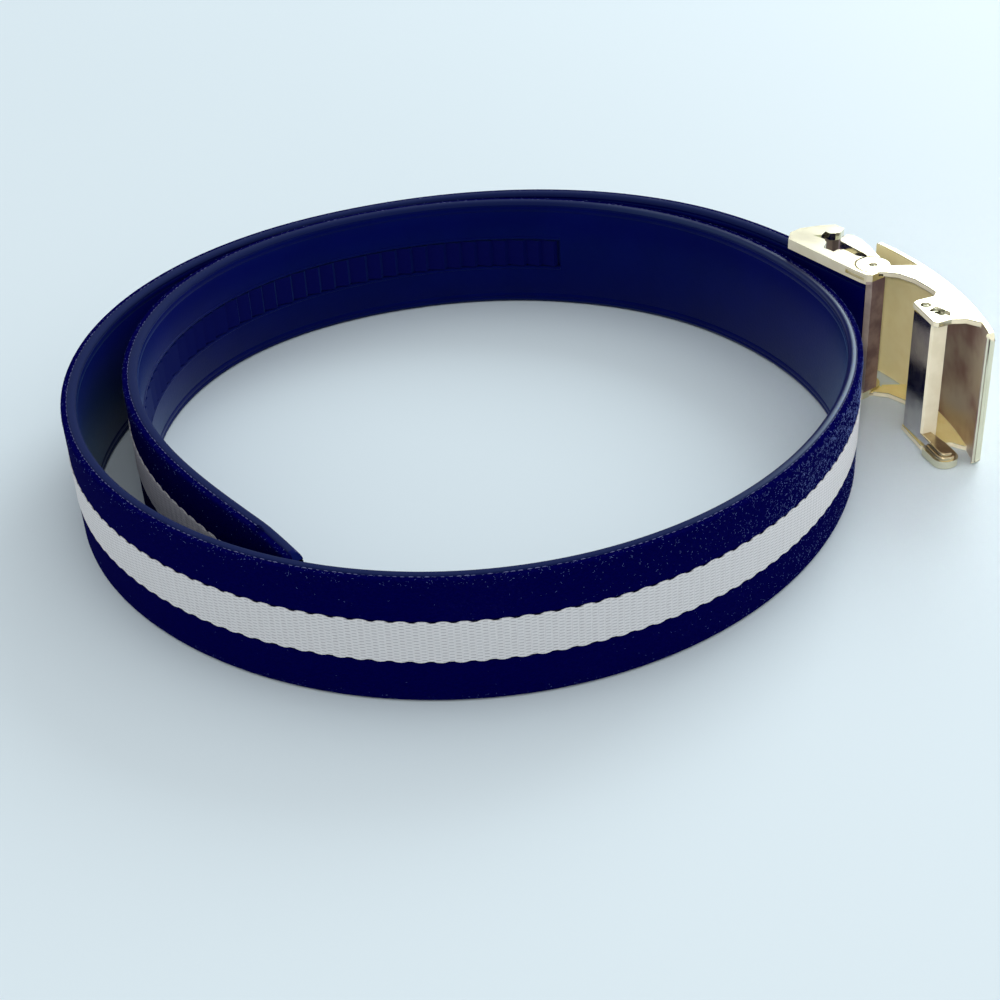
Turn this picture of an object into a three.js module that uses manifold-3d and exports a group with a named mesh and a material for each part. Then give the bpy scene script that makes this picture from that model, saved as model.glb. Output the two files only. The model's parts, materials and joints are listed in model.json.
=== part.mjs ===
// A ratchet belt standing on its edge, wound into a loose spiral of about one and a half turns.
// The strap is a leather backing with a striped woven facing on its outer side, and a toothed track is let
// into the backing near the tip. A metal buckle hangs on a clamp that grips the strap's cut end.
// Units are millimetres, +Z is up, and the ground is z = 0.

import * as THREE from "three";
import { mergeVertices } from "three/addons/utils/BufferGeometryUtils.js";
import Module from "manifold-3d";

const wasm = await Module();
wasm.setup();

// Driving dimensions

const STRAP = {
  width: 35, // the height of the strap, which stands on its edge
  length: 1040,
  backing: 2.4, // thickness of the leather
  facing: 1.25, // thickness of the woven facing
  layerGap: 0.3, // glue line between the two
  edgeRound: 0.8,
  facingTrim: 0.3, // the facing stops this far short of the leather's edges
  taper: 14, // over this length before the tip both edges come in
  narrowing: 1.5, // by this much each
  tipCorner: 1, // and the tip's corners are cut off by this much
  step: 8, // length of one facet
};

const RIBBON = { width: 11.2, thickness: 0.8, proud: 0.2, gap: 0.3 };

// The buckle is wider than the strap, so it lifts the strap's clamped end off the ground.
const LIFT = { height: 2.5, start: 24, end: 190 };

// The strap's bend, from the cut end in the clamp to the tip: a radius at each distance along the strap.
// Between two rows the curvature changes evenly. A negative radius bends away from the inside.
const STRAIGHT_IN_CLAMP = 30;
const BENDS = [
  { at: 30, radius: 171 },
  { at: 68, radius: 99 },
  { at: 118, radius: 112 },
  { at: 178, radius: 124 },
  { at: 248, radius: 95.2 },
  { at: 318, radius: 94.7 },
  { at: 388, radius: 111 },
  { at: 458, radius: 97.7 },
  { at: 528, radius: 106.7 },
  { at: 588, radius: 125.5 },
  { at: 613, radius: 90.2 },
  { at: 638, radius: 72.5 },
  { at: 663, radius: 104.1 },
  { at: 688, radius: 106.9 },
  { at: 713, radius: 87 },
  { at: 748, radius: 106.8 },
  { at: 778, radius: 105.9 },
  { at: 808, radius: 118.8 },
  { at: 868, radius: 76.8 },
  { at: 923, radius: 86.8 },
  { at: 973, radius: 118.5 },
  { at: 1018, radius: 1300 },
  { at: 1040, radius: -142 },
];

const TRACK = {
  start: 756, // distance from the cut end to the first tooth
  teeth: 44,
  pitch: 5.2,
  base: 0.5, // thickness of the strip under the teeth
  tooth: 1.1, // height of a tooth over the strip
  steep: 1, // length of a tooth's steep side
  width: 8.6,
  channelDepth: 1.3,
  endGap: 1, // between the strip's ends and the channel's
  gap: 0.3,
};

// The buckle stands upright, and its parts are drawn in plan: u runs along the chord of the face plate from
// its hinge end to its free end, w points outwards, away from the waist.
const BUCKLE = {
  height: 40,
  chord: 61,
  bulge: 4.5, // rise of the curved face plate over its chord
  plate: 1.6,
  wall: 1.6, // thickness of the two side walls
  hingeCorner: 0.8, // corner radius of the face plate at its hinge end
  freeCorner: 2.4, // and at its free end
  turn: -73.2, // heading of the chord on the ground, degrees
  corner: [112.9, 453.99], // hinge end of the face plate on the ground, before the belt is centred
};

// The face plate's free end is turned inwards into a short thick lip.
const LIP = { length: 2.2, thickness: 2.4, chamfer: 0.6, endSet: 0.3, endChamfer: 0.6 };

// The side walls' ears lap over lands in the clamp's cheeks.
const HINGE = {
  u: 12.2,
  w: -9.0,
  ear: 4.9, // radius of the round ears
  lap: 1.0, // how deep the land is that an ear laps over
  lapGap: 0.2,
  clearance: 0.3,
  pin: 0.8,
  bore: 1.05,
  pinInset: 0.4, // the rivets end this far below the outer faces
};

// The clamp's own plan: a runs along the strap towards the hinge, b points outwards, from the hinge pin.
const CLAMP = {
  turn: 17, // its heading against the face plate's chord, degrees
  cheek: 2.2, // thickness of the two cheeks
  inner: -6.3, // the cheeks' inner edge, in b
  skirt: { thickness: 1.6, depth: 3.1 }, // the turned rim along that edge
  strapMiddle: -2.35, // where the middle of the strap's thickness lies, in b
  strapEnd: 1.6, // where the strap's cut end lies, in a
  crossbar: { a: 3.2, b: -1.9, along: 2.4, across: 5 },
  recess: { from: -4.4, to: 2.6, width: 1.1, bottom: 0.9, depth: 1.1 }, // shallow step in the inner edge
  barInset: 0.5, // the crossbar and the back plate end this far below the cheeks' faces
};

// The jaw's pin sits in blind holes in the cheeks, so nothing of it shows outside.
const JAW = { a: -14.2, b: 6.2, pin: 1.0, boss: 2.2, clearance: 0.3, floor: 0.9, endGap: 0.4 };

const PAWL = { u: 39, w: -7.9, pin: 1.0, clearance: 0.3, endGap: 0.4, pinInset: 0.2 };

// The three ratchet teeth on the pawl's outer side, counted from its free end
const PAWL_TEETH = { start: 46.6, foot: -6.9, height: 1.5, pitch: 2.6, back: 0.4, count: 3 };

const LEVER = { left: -11.9, width: 7.2, start: 49.7, end: 59.6, corner: 3.2, bottom: 0.2, thickness: 2.2 };

// The lever's pad for the thumb is a dome that stands higher than its rim.
const PAD = { inset: 0.6, height: 1.8, shoulder: 1.0, round: 0.8 };

// A small spring clip sits in a slot of each lug and keeps the pawl's pin in place.
const CLIP = { u: 44.2, w: -6.2, length: 5.2, width: 2.4, turn: 22, gap: 0.3, inset: 0.1, thickness: 1.4 };

const ROUND_SEGMENTS = 20;

// Colours

const MATERIALS = {
  leather: new THREE.MeshStandardMaterial({ color: 0x10131f, roughness: 0.38, metalness: 0 }),
  facing: new THREE.MeshStandardMaterial({ color: 0x0b0d1c, roughness: 0.92, metalness: 0 }),
  ribbon: new THREE.MeshStandardMaterial({ color: 0xd9dadd, roughness: 0.75, metalness: 0 }),
  track: new THREE.MeshStandardMaterial({ color: 0x14151d, roughness: 0.35, metalness: 0 }),
  gold: new THREE.MeshStandardMaterial({ color: 0xe6d6a4, roughness: 0.14, metalness: 1 }),
  steel: new THREE.MeshStandardMaterial({ color: 0xb9b4a6, roughness: 0.25, metalness: 1 }),
};

// Tools for closed solids

const radians = THREE.MathUtils.degToRad;

function turned([x, y], degrees) {
  const angle = radians(degrees);
  return [x * Math.cos(angle) - y * Math.sin(angle), x * Math.sin(angle) + y * Math.cos(angle)];
}

function moved([x, y], [dx, dy]) {
  return [x + dx, y + dy];
}

function arc([x, y], radius, from, to, segments) {
  const points = [];
  for (let i = 0; i <= segments; i += 1) {
    const angle = radians(from + ((to - from) * i) / segments);
    points.push([x + radius * Math.cos(angle), y + radius * Math.sin(angle)]);
  }
  return points;
}

function plate(outline, bottom, top) {
  const shape = new THREE.Shape(outline.map(([x, y]) => new THREE.Vector2(x, y)));
  const options = { depth: top - bottom, bevelEnabled: false, curveSegments: 1 };
  return new THREE.ExtrudeGeometry(shape, options).translate(0, 0, bottom);
}

function rod([x, y], radius, bottom, top) {
  return plate(arc([x, y], radius, 0, 360 - 360 / ROUND_SEGMENTS, ROUND_SEGMENTS - 1), bottom, top);
}

function bare(geometry) {
  const positions = new THREE.BufferGeometry();
  positions.setAttribute("position", geometry.getAttribute("position").clone());
  if (geometry.index) positions.setIndex(geometry.index.clone());
  return mergeVertices(positions, 1e-4);
}

function solid(geometry) {
  const merged = bare(geometry);
  const mesh = new wasm.Mesh({
    numProp: 3,
    vertProperties: new Float32Array(merged.getAttribute("position").array),
    triVerts: new Uint32Array(merged.index.array),
  });
  return new wasm.Manifold(mesh);
}

function toGeometry(manifold) {
  const mesh = manifold.getMesh();
  const geometry = new THREE.BufferGeometry();
  geometry.setAttribute("position", new THREE.BufferAttribute(new Float32Array(mesh.vertProperties), 3));
  geometry.setIndex(new THREE.BufferAttribute(new Uint32Array(mesh.triVerts), 1));
  return geometry;
}

function join(...geometries) {
  return toGeometry(geometries.map(solid).reduce((whole, next) => whole.add(next)));
}

function cut(geometry, ...tools) {
  return toGeometry(tools.map(solid).reduce((rest, tool) => rest.subtract(tool), solid(geometry)));
}

function meet(one, other) {
  return toGeometry(solid(one).intersect(solid(other)));
}

// The same plate at the top and at the bottom of the buckle
function pairOfPlates(outline, thickness, inset = 0) {
  const top = BUCKLE.height - inset;
  return [plate(outline, top - thickness, top), plate(outline, inset, inset + thickness)];
}

function named(name, geometry, material) {
  const mesh = new THREE.Mesh(geometry, material);
  mesh.name = name;
  return mesh;
}

// The strap's path on the ground

function clampToGround([a, b]) {
  const inBuckle = moved(turned([a, b], CLAMP.turn), [HINGE.u, HINGE.w]);
  return moved(turned(inBuckle, BUCKLE.turn), BUCKLE.corner);
}

function curvature(at) {
  if (at < STRAIGHT_IN_CLAMP) return 0;
  const next = Math.max(1, BENDS.findIndex((row) => row.at >= at));
  const before = BENDS[next - 1];
  const after = BENDS[next];
  const share = (at - before.at) / (after.at - before.at);
  return (1 - share) / before.radius + share / after.radius;
}

function lift(at) {
  const share = THREE.MathUtils.clamp((LIFT.end - at) / (LIFT.end - LIFT.start), 0, 1);
  return LIFT.height * share * share * (3 - 2 * share);
}

function strapStations() {
  const walk = 1; // the path is summed in steps of one millimetre
  const stations = [];
  let [x, y] = clampToGround([CLAMP.strapEnd, CLAMP.strapMiddle]);
  let heading = radians(BUCKLE.turn + CLAMP.turn + 180);
  for (let at = 0; at <= STRAP.length; at += walk) {
    stations.push({ at, x, y, heading, lift: lift(at) });
    const half = heading + (curvature(at + walk / 2) * walk) / 2;
    x += Math.cos(half) * walk;
    y += Math.sin(half) * walk;
    heading += curvature(at + walk / 2) * walk;
  }
  return stations;
}

const PATH = strapStations();

function stationsBetween(from, to) {
  const count = Math.ceil((to - from) / STRAP.step);
  return Array.from({ length: count + 1 }, (_, i) => PATH[Math.round(from + ((to - from) * i) / count)]);
}

// A point beside the path: offset is measured outwards from the middle of the strap's thickness
function beside(station, offset) {
  return [station.x + Math.sin(station.heading) * offset, station.y - Math.cos(station.heading) * offset];
}

// A closed solid swept along the strap. section(station) gives [offset, height] points, the same number at
// each station.
function sweep(stations, section) {
  const rings = stations.map((station) =>
    section(station).map(([offset, height]) => [...beside(station, offset), height + station.lift]),
  );
  const size = rings[0].length;
  const corners = [];
  const quad = (p, q, r, s) => corners.push(p, q, r, p, r, s);
  for (let i = 0; i + 1 < rings.length; i += 1) {
    for (let k = 0; k < size; k += 1) {
      const n = (k + 1) % size;
      quad(rings[i][k], rings[i][n], rings[i + 1][n], rings[i + 1][k]);
    }
  }
  const first = section(stations[0]).map(([x, y]) => new THREE.Vector2(x, y));
  for (const [p, q, r] of THREE.ShapeUtils.triangulateShape(first, [])) {
    corners.push(rings[0][r], rings[0][q], rings[0][p]);
    const last = rings[rings.length - 1];
    corners.push(last[p], last[q], last[r]);
  }
  const geometry = new THREE.BufferGeometry();
  geometry.setAttribute("position", new THREE.BufferAttribute(new Float32Array(corners.flat()), 3));
  return flipIfInsideOut(bare(geometry));
}

function flipIfInsideOut(geometry) {
  const p = geometry.getAttribute("position");
  const index = geometry.index.array;
  const [a, b, c] = [new THREE.Vector3(), new THREE.Vector3(), new THREE.Vector3()];
  let volume = 0;
  for (let i = 0; i < index.length; i += 3) {
    a.fromBufferAttribute(p, index[i]);
    b.fromBufferAttribute(p, index[i + 1]);
    c.fromBufferAttribute(p, index[i + 2]);
    volume += a.dot(b.cross(c));
  }
  if (volume < 0) {
    for (let i = 0; i < index.length; i += 3) [index[i], index[i + 1]] = [index[i + 1], index[i]];
  }
  return geometry;
}

// How far each edge has come in at a station near the tip
function tipCut(station) {
  const left = STRAP.length - station.at;
  const narrowing = STRAP.narrowing * Math.max(0, 1 - left / STRAP.taper);
  return narrowing + Math.max(0, STRAP.tipCorner - left);
}

function strapRows(from, to) {
  const start = STRAP.length - STRAP.taper;
  if (to <= start) return stationsBetween(from, to);
  const last = [STRAP.taper / 2, STRAP.tipCorner, 0].map((left) => PATH[STRAP.length - left]);
  return [...stationsBetween(from, start), ...last];
}

// Strap pieces

const THICKNESS = STRAP.backing + STRAP.layerGap + STRAP.facing;
const INNER_FACE = -THICKNESS / 2;
const OUTER_FACE = THICKNESS / 2;
const MID_HEIGHT = STRAP.width / 2;

function backingSection(station) {
  const low = tipCut(station);
  const high = STRAP.width - tipCut(station);
  const outer = INNER_FACE + STRAP.backing;
  const r = STRAP.edgeRound;
  const soft = r * (1 - Math.SQRT1_2);
  return [
    [outer, low],
    [outer, high],
    [INNER_FACE + r, high],
    [INNER_FACE + soft, high - soft],
    [INNER_FACE, high - r],
    [INNER_FACE, low + r],
    [INNER_FACE + soft, low + soft],
    [INNER_FACE + r, low],
  ];
}

function facingSection(station) {
  const low = tipCut(station) + STRAP.facingTrim;
  const high = STRAP.width - tipCut(station) - STRAP.facingTrim;
  const inner = OUTER_FACE - STRAP.facing;
  const floor = OUTER_FACE + RIBBON.proud - RIBBON.thickness - RIBBON.gap;
  const half = RIBBON.width / 2 + RIBBON.gap;
  return [
    [inner, low],
    [OUTER_FACE, low],
    [OUTER_FACE, MID_HEIGHT - half],
    [floor, MID_HEIGHT - half],
    [floor, MID_HEIGHT + half],
    [OUTER_FACE, MID_HEIGHT + half],
    [OUTER_FACE, high],
    [inner, high],
  ];
}

function ribbonSection() {
  const outer = OUTER_FACE + RIBBON.proud;
  const inner = outer - RIBBON.thickness;
  const half = RIBBON.width / 2;
  return [
    [inner, MID_HEIGHT - half],
    [outer, MID_HEIGHT - half],
    [outer, MID_HEIGHT + half],
    [inner, MID_HEIGHT + half],
  ];
}

function channelCutter(from, to) {
  const half = TRACK.width / 2 + TRACK.gap;
  const beyond = INNER_FACE - TRACK.channelDepth; // the cutter stands out of the leather
  return sweep(stationsBetween(from, to), () => [
    [beyond, MID_HEIGHT - half],
    [INNER_FACE + TRACK.channelDepth, MID_HEIGHT - half],
    [INNER_FACE + TRACK.channelDepth, MID_HEIGHT + half],
    [beyond, MID_HEIGHT + half],
  ]);
}

const TRACK_END = TRACK.start + TRACK.teeth * TRACK.pitch;

// Each tooth drops steeply on the cut end's side and slopes gently towards the tip.
function trackOutline() {
  const back = INNER_FACE + TRACK.channelDepth - TRACK.gap;
  const foot = back - TRACK.base;
  const crown = foot - TRACK.tooth;
  const at = (distance) => PATH[Math.round(distance)];
  const inner = [beside(at(TRACK.start), foot)];
  for (let i = 0; i < TRACK.teeth; i += 1) {
    const near = TRACK.start + i * TRACK.pitch;
    inner.push(beside(at(near + TRACK.steep), crown));
    inner.push(beside(at(near + TRACK.pitch), foot));
  }
  const outer = stationsBetween(TRACK.start, Math.round(TRACK_END)).map((station) => beside(station, back));
  return [...inner, ...outer.reverse()];
}

function strap() {
  const rows = strapRows(0, STRAP.length);
  const group = new THREE.Group();
  const channel = channelCutter(TRACK.start - TRACK.endGap, Math.round(TRACK_END) + TRACK.endGap);
  const half = TRACK.width / 2;
  const track = plate(trackOutline(), MID_HEIGHT - half, MID_HEIGHT + half);
  group.add(named("strap_backing", cut(sweep(rows, backingSection), channel), MATERIALS.leather));
  group.add(named("strap_facing", sweep(rows, facingSection), MATERIALS.facing));
  group.add(named("stripe_ribbon", sweep(rows, ribbonSection), MATERIALS.ribbon));
  group.add(named("ratchet_track", toGeometry(solid(track)), MATERIALS.track));
  return group;
}

// Buckle frame: a curved face plate between two side walls

const FACE_RADIUS = ((BUCKLE.chord / 2) ** 2 + BUCKLE.bulge ** 2) / (2 * BUCKLE.bulge);
const FACE_CENTRE = [BUCKLE.chord / 2, BUCKLE.bulge - FACE_RADIUS];
const FACE_SPREAD = THREE.MathUtils.radToDeg(Math.asin(BUCKLE.chord / 2 / FACE_RADIUS));
const FACE_SEGMENTS = 20;

// The height w of the face plate's curve at u, for a curve set inwards by depth
function faceCurve(u, depth) {
  return FACE_CENTRE[1] + Math.sqrt((FACE_RADIUS - depth) ** 2 - (u - FACE_CENTRE[0]) ** 2);
}

function facePlate() {
  const [from, to] = [90 + FACE_SPREAD, 90 - FACE_SPREAD];
  const outer = arc(FACE_CENTRE, FACE_RADIUS, from, to, FACE_SEGMENTS);
  const inner = arc(FACE_CENTRE, FACE_RADIUS - BUCKLE.plate, to, from, FACE_SEGMENTS);
  return plate([...outer, ...inner].reverse(), 0, BUCKLE.height);
}

function endLip() {
  const start = BUCKLE.chord - LIP.length;
  const end = BUCKLE.chord - LIP.endSet;
  const seam = BUCKLE.plate / 2;
  const outline = [
    [start, faceCurve(start, seam)],
    [start + LIP.chamfer, faceCurve(start + LIP.chamfer, LIP.thickness)],
    [end - LIP.endChamfer, faceCurve(end - LIP.endChamfer, LIP.thickness)],
    [end, faceCurve(end, seam)],
  ];
  return plate(outline, 0, BUCKLE.height);
}

// A block with the face plate's outline as seen from outside, its corners rounded
function frontOutlineBlock() {
  const [near, far] = [BUCKLE.hingeCorner, BUCKLE.freeCorner];
  const [right, top] = [BUCKLE.chord, BUCKLE.height];
  const outline = [
    ...arc([near, near], near, 180, 270, 2),
    ...arc([right - far, far], far, 270, 360, 5),
    ...arc([right - far, top - far], far, 0, 90, 5),
    ...arc([near, top - near], near, 90, 180, 2),
  ];
  const reach = BUCKLE.chord; // the block stands well out of the face plate on both sides
  return plate(outline, -reach, reach).rotateX(Math.PI / 2);
}

// The side wall's inner edge: from the ear round the hinge pin, along the deep first arch, round the lug
// that carries the pawl, along the second arch and out into the face plate
const WALL_INNER_EDGE = [
  { u: 17.4, w: -8.6 },
  { u: 20.0, w: -5.2 },
  { u: 24.8, w: -2.9 },
  { u: 29.8, w: -2.0 },
  { u: 33.6, w: -1.6 },
  { u: 35.4, w: -3.2 },
  { u: 35.6, w: -8.6 },
  { u: 36.6, w: -10.2 },
  { u: 48.2, w: -10.9 },
  { u: 49.2, w: -10.0 },
  { u: 48.9, w: -5.8 },
  { u: 50.2, w: -2.2 },
  { u: 52.6, w: -0.4 },
];

// Where the side wall runs into the face plate, from the free end to the hinge end
const WALL_SEAM = [54, 44, 36, 28, 22, 18.2];

const WALL_OUTER_EDGE = [
  { u: 17.2, w: 1.6 },
  { u: 16.2, w: -0.6 },
];

function corners(table) {
  return table.map((row) => Object.values(row));
}

function wallOutline() {
  const ear = arc([HINGE.u, HINGE.w], HINGE.ear, 60, 326, 18);
  const seam = WALL_SEAM.map((u) => [u, faceCurve(u, BUCKLE.plate / 2)]);
  return [...ear, ...corners(WALL_INNER_EDGE), ...seam, ...corners(WALL_OUTER_EDGE)];
}

// The round land where an ear laps over a cheek, open towards the wall that carries the ear
function lapOutline(centre) {
  return arc(centre, HINGE.ear + HINGE.clearance, 0, 342, 19);
}

function clipOutline(grow) {
  const l = CLIP.length / 2 + grow;
  const h = CLIP.width / 2 + grow;
  const outline = [
    [-l, -h],
    [l - h, -h],
    [l, 0],
    [l - h, h],
    [-l, h],
  ];
  return outline.map((corner) => moved(turned(corner, CLIP.turn), [CLIP.u, CLIP.w]));
}

function buckleFrame() {
  const hinge = [HINGE.u, HINGE.w];
  const face = meet(join(facePlate(), endLip()), frontOutlineBlock());
  return cut(
    join(face, ...pairOfPlates(wallOutline(), BUCKLE.wall)),
    ...pairOfPlates(lapOutline(hinge), BUCKLE.wall, HINGE.lap),
    rod(hinge, HINGE.bore, 0, BUCKLE.height),
    rod([PAWL.u, PAWL.w], PAWL.pin + PAWL.clearance, 0, BUCKLE.height),
    ...pairOfPlates(clipOutline(CLIP.gap), BUCKLE.wall),
  );
}

// Pawl: a toothed bar on the lugs' pin, with a thumb lever at its lower end

const PAWL_BACK = [
  { u: 37.4, w: -10.2 },
  { u: 46.2, w: -10.2 },
  { u: 46.8, w: -9.6 },
];

const PAWL_FRONT = [{ u: 37.4, w: -6.9 }];

function pawlOutline() {
  const teeth = [];
  for (let i = 0; i < PAWL_TEETH.count; i += 1) {
    const start = PAWL_TEETH.start - i * PAWL_TEETH.pitch;
    teeth.push([start, PAWL_TEETH.foot + PAWL_TEETH.height]);
    teeth.push([start - PAWL_TEETH.pitch + PAWL_TEETH.back, PAWL_TEETH.foot]);
  }
  return [...corners(PAWL_BACK), ...teeth, ...corners(PAWL_FRONT)];
}

function leverOutline(inset = 0) {
  const left = LEVER.left + inset;
  const right = LEVER.left + LEVER.width - inset;
  const start = LEVER.start + inset;
  const end = LEVER.end - inset;
  const corner = LEVER.corner - inset;
  const chamfer = 1;
  return [
    [start, left + chamfer],
    [start + chamfer, left],
    ...arc([end - corner, left + corner], corner, -90, 0, 5),
    ...arc([end - corner, right - corner], corner, 0, 90, 5),
    [start + chamfer, right],
    [start, right - chamfer],
  ];
}

// The neck that joins the lever to the bar over the lug
const NECK_OUTLINE = [
  { u: 45, w: -10.2 },
  { u: 51.7, w: -10.2 },
  { u: 51.7, w: -6.2 },
  { u: 45, w: -6.9 },
];

function pawl() {
  const bottom = BUCKLE.wall + PAWL.endGap;
  const bar = plate(pawlOutline(), bottom, BUCKLE.height - bottom);
  const neck = plate(corners(NECK_OUTLINE), bottom, bottom + LEVER.thickness);
  const rimTop = LEVER.bottom + LEVER.thickness;
  const rim = plate(leverOutline(), LEVER.bottom, rimTop);
  const pad = plate(leverOutline(PAD.inset), LEVER.bottom, rimTop + PAD.shoulder);
  const crown = plate(leverOutline(PAD.inset + PAD.round), LEVER.bottom, rimTop + PAD.height);
  const bore = rod([PAWL.u, PAWL.w], PAWL.pin + PAWL.clearance, 0, BUCKLE.height);
  return cut(join(bar, neck, rim, pad, crown), bore);
}

// Clamp: two cheeks joined by a crossbar at the hinge and a back plate at the far end

// The cheek's rounded end round the hinge pin comes first, then its outline follows the limb over the jaw,
// the slot below the limb, the arm at the far end and the inner edge.
const CHEEK_CORNER = [
  { a: 3.4, b: -5.9 },
  { a: 4.6, b: -4.8 },
];

const CHEEK_OUTLINE = [
  { a: -3.2, b: 5.2 },
  { a: -9.1, b: 7.7 },
  { a: -13.5, b: 9.0 },
  { a: -17.2, b: 9.4 },
  { a: -18.5, b: 8.4 },
  { a: -17.8, b: 5.2 },
  { a: -16.7, b: 3.9 },
  { a: -5.2, b: 3.0 },
  { a: -4.7, b: 2.2 },
  { a: -5.2, b: 1.3 },
  { a: -7.0, b: 0.5 },
  { a: -11.9, b: 0.7 },
  { a: -13.2, b: -0.8 },
  { a: -12.9, b: -2.5 },
  { a: -16.6, b: -2.8 },
  { a: -17.6, b: -1.6 },
  { a: -18.6, b: 0.2 },
  { a: -20.6, b: 1.3 },
  { a: -24.6, b: 0.6 },
  { a: -23.0, b: 2.6 },
  { a: -24.0, b: 5.1 },
  { a: -22.2, b: 5.1 },
  { a: -21.0, b: 6.3 },
  { a: -20.6, b: 8.0 },
  { a: -21.9, b: 10.6 },
  { a: -25.4, b: 10.6 },
  { a: -27.9, b: 6.8 },
  { a: -30.3, b: 1.2 },
  { a: -30.1, b: -3.0 },
  { a: -27.4, b: CLAMP.inner },
  { a: -5.0, b: CLAMP.inner },
  { a: 1.2, b: CLAMP.inner + 0.1 },
];

// The turned rim that covers the strap's edges on the waist side
const SKIRT_OUTLINE = [
  { a: -28.6, b: CLAMP.inner + CLAMP.skirt.thickness },
  { a: -27.4, b: CLAMP.inner },
  { a: -5.0, b: CLAMP.inner },
  { a: 1.2, b: CLAMP.inner + 0.1 },
  { a: 3.4, b: CLAMP.inner + 0.4 },
  { a: 4.4, b: CLAMP.inner + CLAMP.skirt.thickness },
];

const BACK_PLATE_OUTLINE = [
  { a: -30.1, b: 1.2 },
  { a: -28.6, b: 1.0 },
  { a: -26.6, b: 5.6 },
  { a: -24.6, b: 9.0 },
  { a: -22.2, b: 9.0 },
  { a: -21.9, b: 10.6 },
  { a: -25.4, b: 10.6 },
  { a: -27.9, b: 6.8 },
];

function cheekOutline() {
  const end = arc([0, 0], HINGE.ear - HINGE.clearance, -5, 100, 7);
  return [...corners(CHEEK_CORNER), ...end, ...corners(CHEEK_OUTLINE)];
}

function rectangle(left, right, low, high) {
  return [
    [left, low],
    [right, low],
    [right, high],
    [left, high],
  ];
}

function clampBody() {
  const { a, b, along, across } = CLAMP.crossbar;
  const bar = rectangle(a - along / 2, a + along / 2, b - across / 2, b + across / 2);
  const [low, high] = [CLAMP.barInset, BUCKLE.height - CLAMP.barInset];
  const { from, to, width, bottom, depth } = CLAMP.recess;
  const recess = rectangle(from, to, CLAMP.inner - 1, CLAMP.inner + width);
  const hole = JAW.pin + JAW.clearance;
  return cut(
    join(
      ...pairOfPlates(cheekOutline(), CLAMP.cheek),
      ...pairOfPlates(corners(SKIRT_OUTLINE), CLAMP.skirt.depth),
      plate(corners(BACK_PLATE_OUTLINE), low, high),
      plate(bar, low, high),
    ),
    ...pairOfPlates(lapOutline([0, 0]), HINGE.lap + HINGE.lapGap),
    ...pairOfPlates(recess, depth, bottom),
    rod([0, 0], HINGE.bore, 0, BUCKLE.height),
    rod([JAW.a, JAW.b], hole, JAW.floor, BUCKLE.height - JAW.floor),
  );
}

// Jaw: a lever that turns on its pin and presses a toothed nose into the facing

const JAW_NOSE = [
  { a: -16.2, b: 5.6 },
  { a: -15.4, b: 1.2 },
  { a: -14.7, b: 0.3 },
  { a: -14.1, b: 1.1 },
  { a: -13.4, b: 0.3 },
  { a: -12.8, b: 1.1 },
  { a: -12.1, b: 0.6 },
  { a: -11.9, b: 2.6 },
  { a: -12.3, b: 5.6 },
];

const JAW_LEVER = [
  { a: -14.2, b: 4.3 },
  { a: -9.3, b: 3.9 },
  { a: -8.8, b: 4.7 },
  { a: -9.2, b: 5.5 },
  { a: -13.2, b: 7.9 },
];

function jaw() {
  const bottom = CLAMP.cheek + JAW.endGap;
  const top = BUCKLE.height - bottom;
  const pin = [JAW.a, JAW.b];
  const nose = plate(corners(JAW_NOSE), bottom, top);
  const lever = plate(corners(JAW_LEVER), bottom, top);
  const bore = rod(pin, JAW.pin + JAW.clearance, 0, BUCKLE.height);
  return cut(join(rod(pin, JAW.boss, bottom, top), nose, lever), bore);
}

function clamp() {
  const group = new THREE.Group();
  group.position.set(HINGE.u, HINGE.w, 0);
  group.rotation.z = radians(CLAMP.turn);
  group.add(named("clamp_body", clampBody(), MATERIALS.gold));
  group.add(named("clamp_jaw", jaw(), MATERIALS.gold));
  const end = JAW.floor + JAW.clearance;
  group.add(named("jaw_pin", rod([JAW.a, JAW.b], JAW.pin, end, BUCKLE.height - end), MATERIALS.steel));
  const [low, high] = [HINGE.pinInset, CLAMP.cheek];
  const bottomRivet = rod([0, 0], HINGE.pin, low, high);
  const topRivet = rod([0, 0], HINGE.pin, BUCKLE.height - high, BUCKLE.height - low);
  group.add(named("hinge_rivet_top", topRivet, MATERIALS.steel));
  group.add(named("hinge_rivet_bottom", bottomRivet, MATERIALS.steel));
  return group;
}

function buckle() {
  const group = new THREE.Group();
  group.position.set(...BUCKLE.corner, 0);
  group.rotation.z = radians(BUCKLE.turn);
  group.add(named("buckle_frame", buckleFrame(), MATERIALS.gold));
  group.add(named("pawl_lever", pawl(), MATERIALS.gold));
  const pin = rod([PAWL.u, PAWL.w], PAWL.pin, PAWL.pinInset, BUCKLE.height - PAWL.pinInset);
  group.add(named("pawl_pin", pin, MATERIALS.steel));
  const [topClip, bottomClip] = pairOfPlates(clipOutline(0), CLIP.thickness, CLIP.inset);
  group.add(named("spring_clip_top", topClip, MATERIALS.steel));
  group.add(named("spring_clip_bottom", bottomClip, MATERIALS.steel));
  group.add(clamp());
  return group;
}

// The whole belt, centred over the origin

const belt = new THREE.Group();
belt.add(strap(), buckle());
belt.updateMatrixWorld(true);
const box = new THREE.Box3().setFromObject(belt, true);
const centre = box.getCenter(new THREE.Vector3());
belt.position.set(-centre.x, -centre.y, -box.min.z);

export default belt;
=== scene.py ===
# %% [markdown]
# This lesson dresses a ratchet belt: a leather strap with a striped woven facing, wound on its edge,
# and a polished buckle on a hinged clamp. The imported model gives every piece's place and every joint.
# Each step here makes one piece as it would be made by hand, lays it where the model says, and lets it
# ride on a body. Sizes are in metres, written as millimetres times MM.

import json
import math

import bmesh
import bpy
import numpy as np
from mathutils import Matrix, Vector


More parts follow.
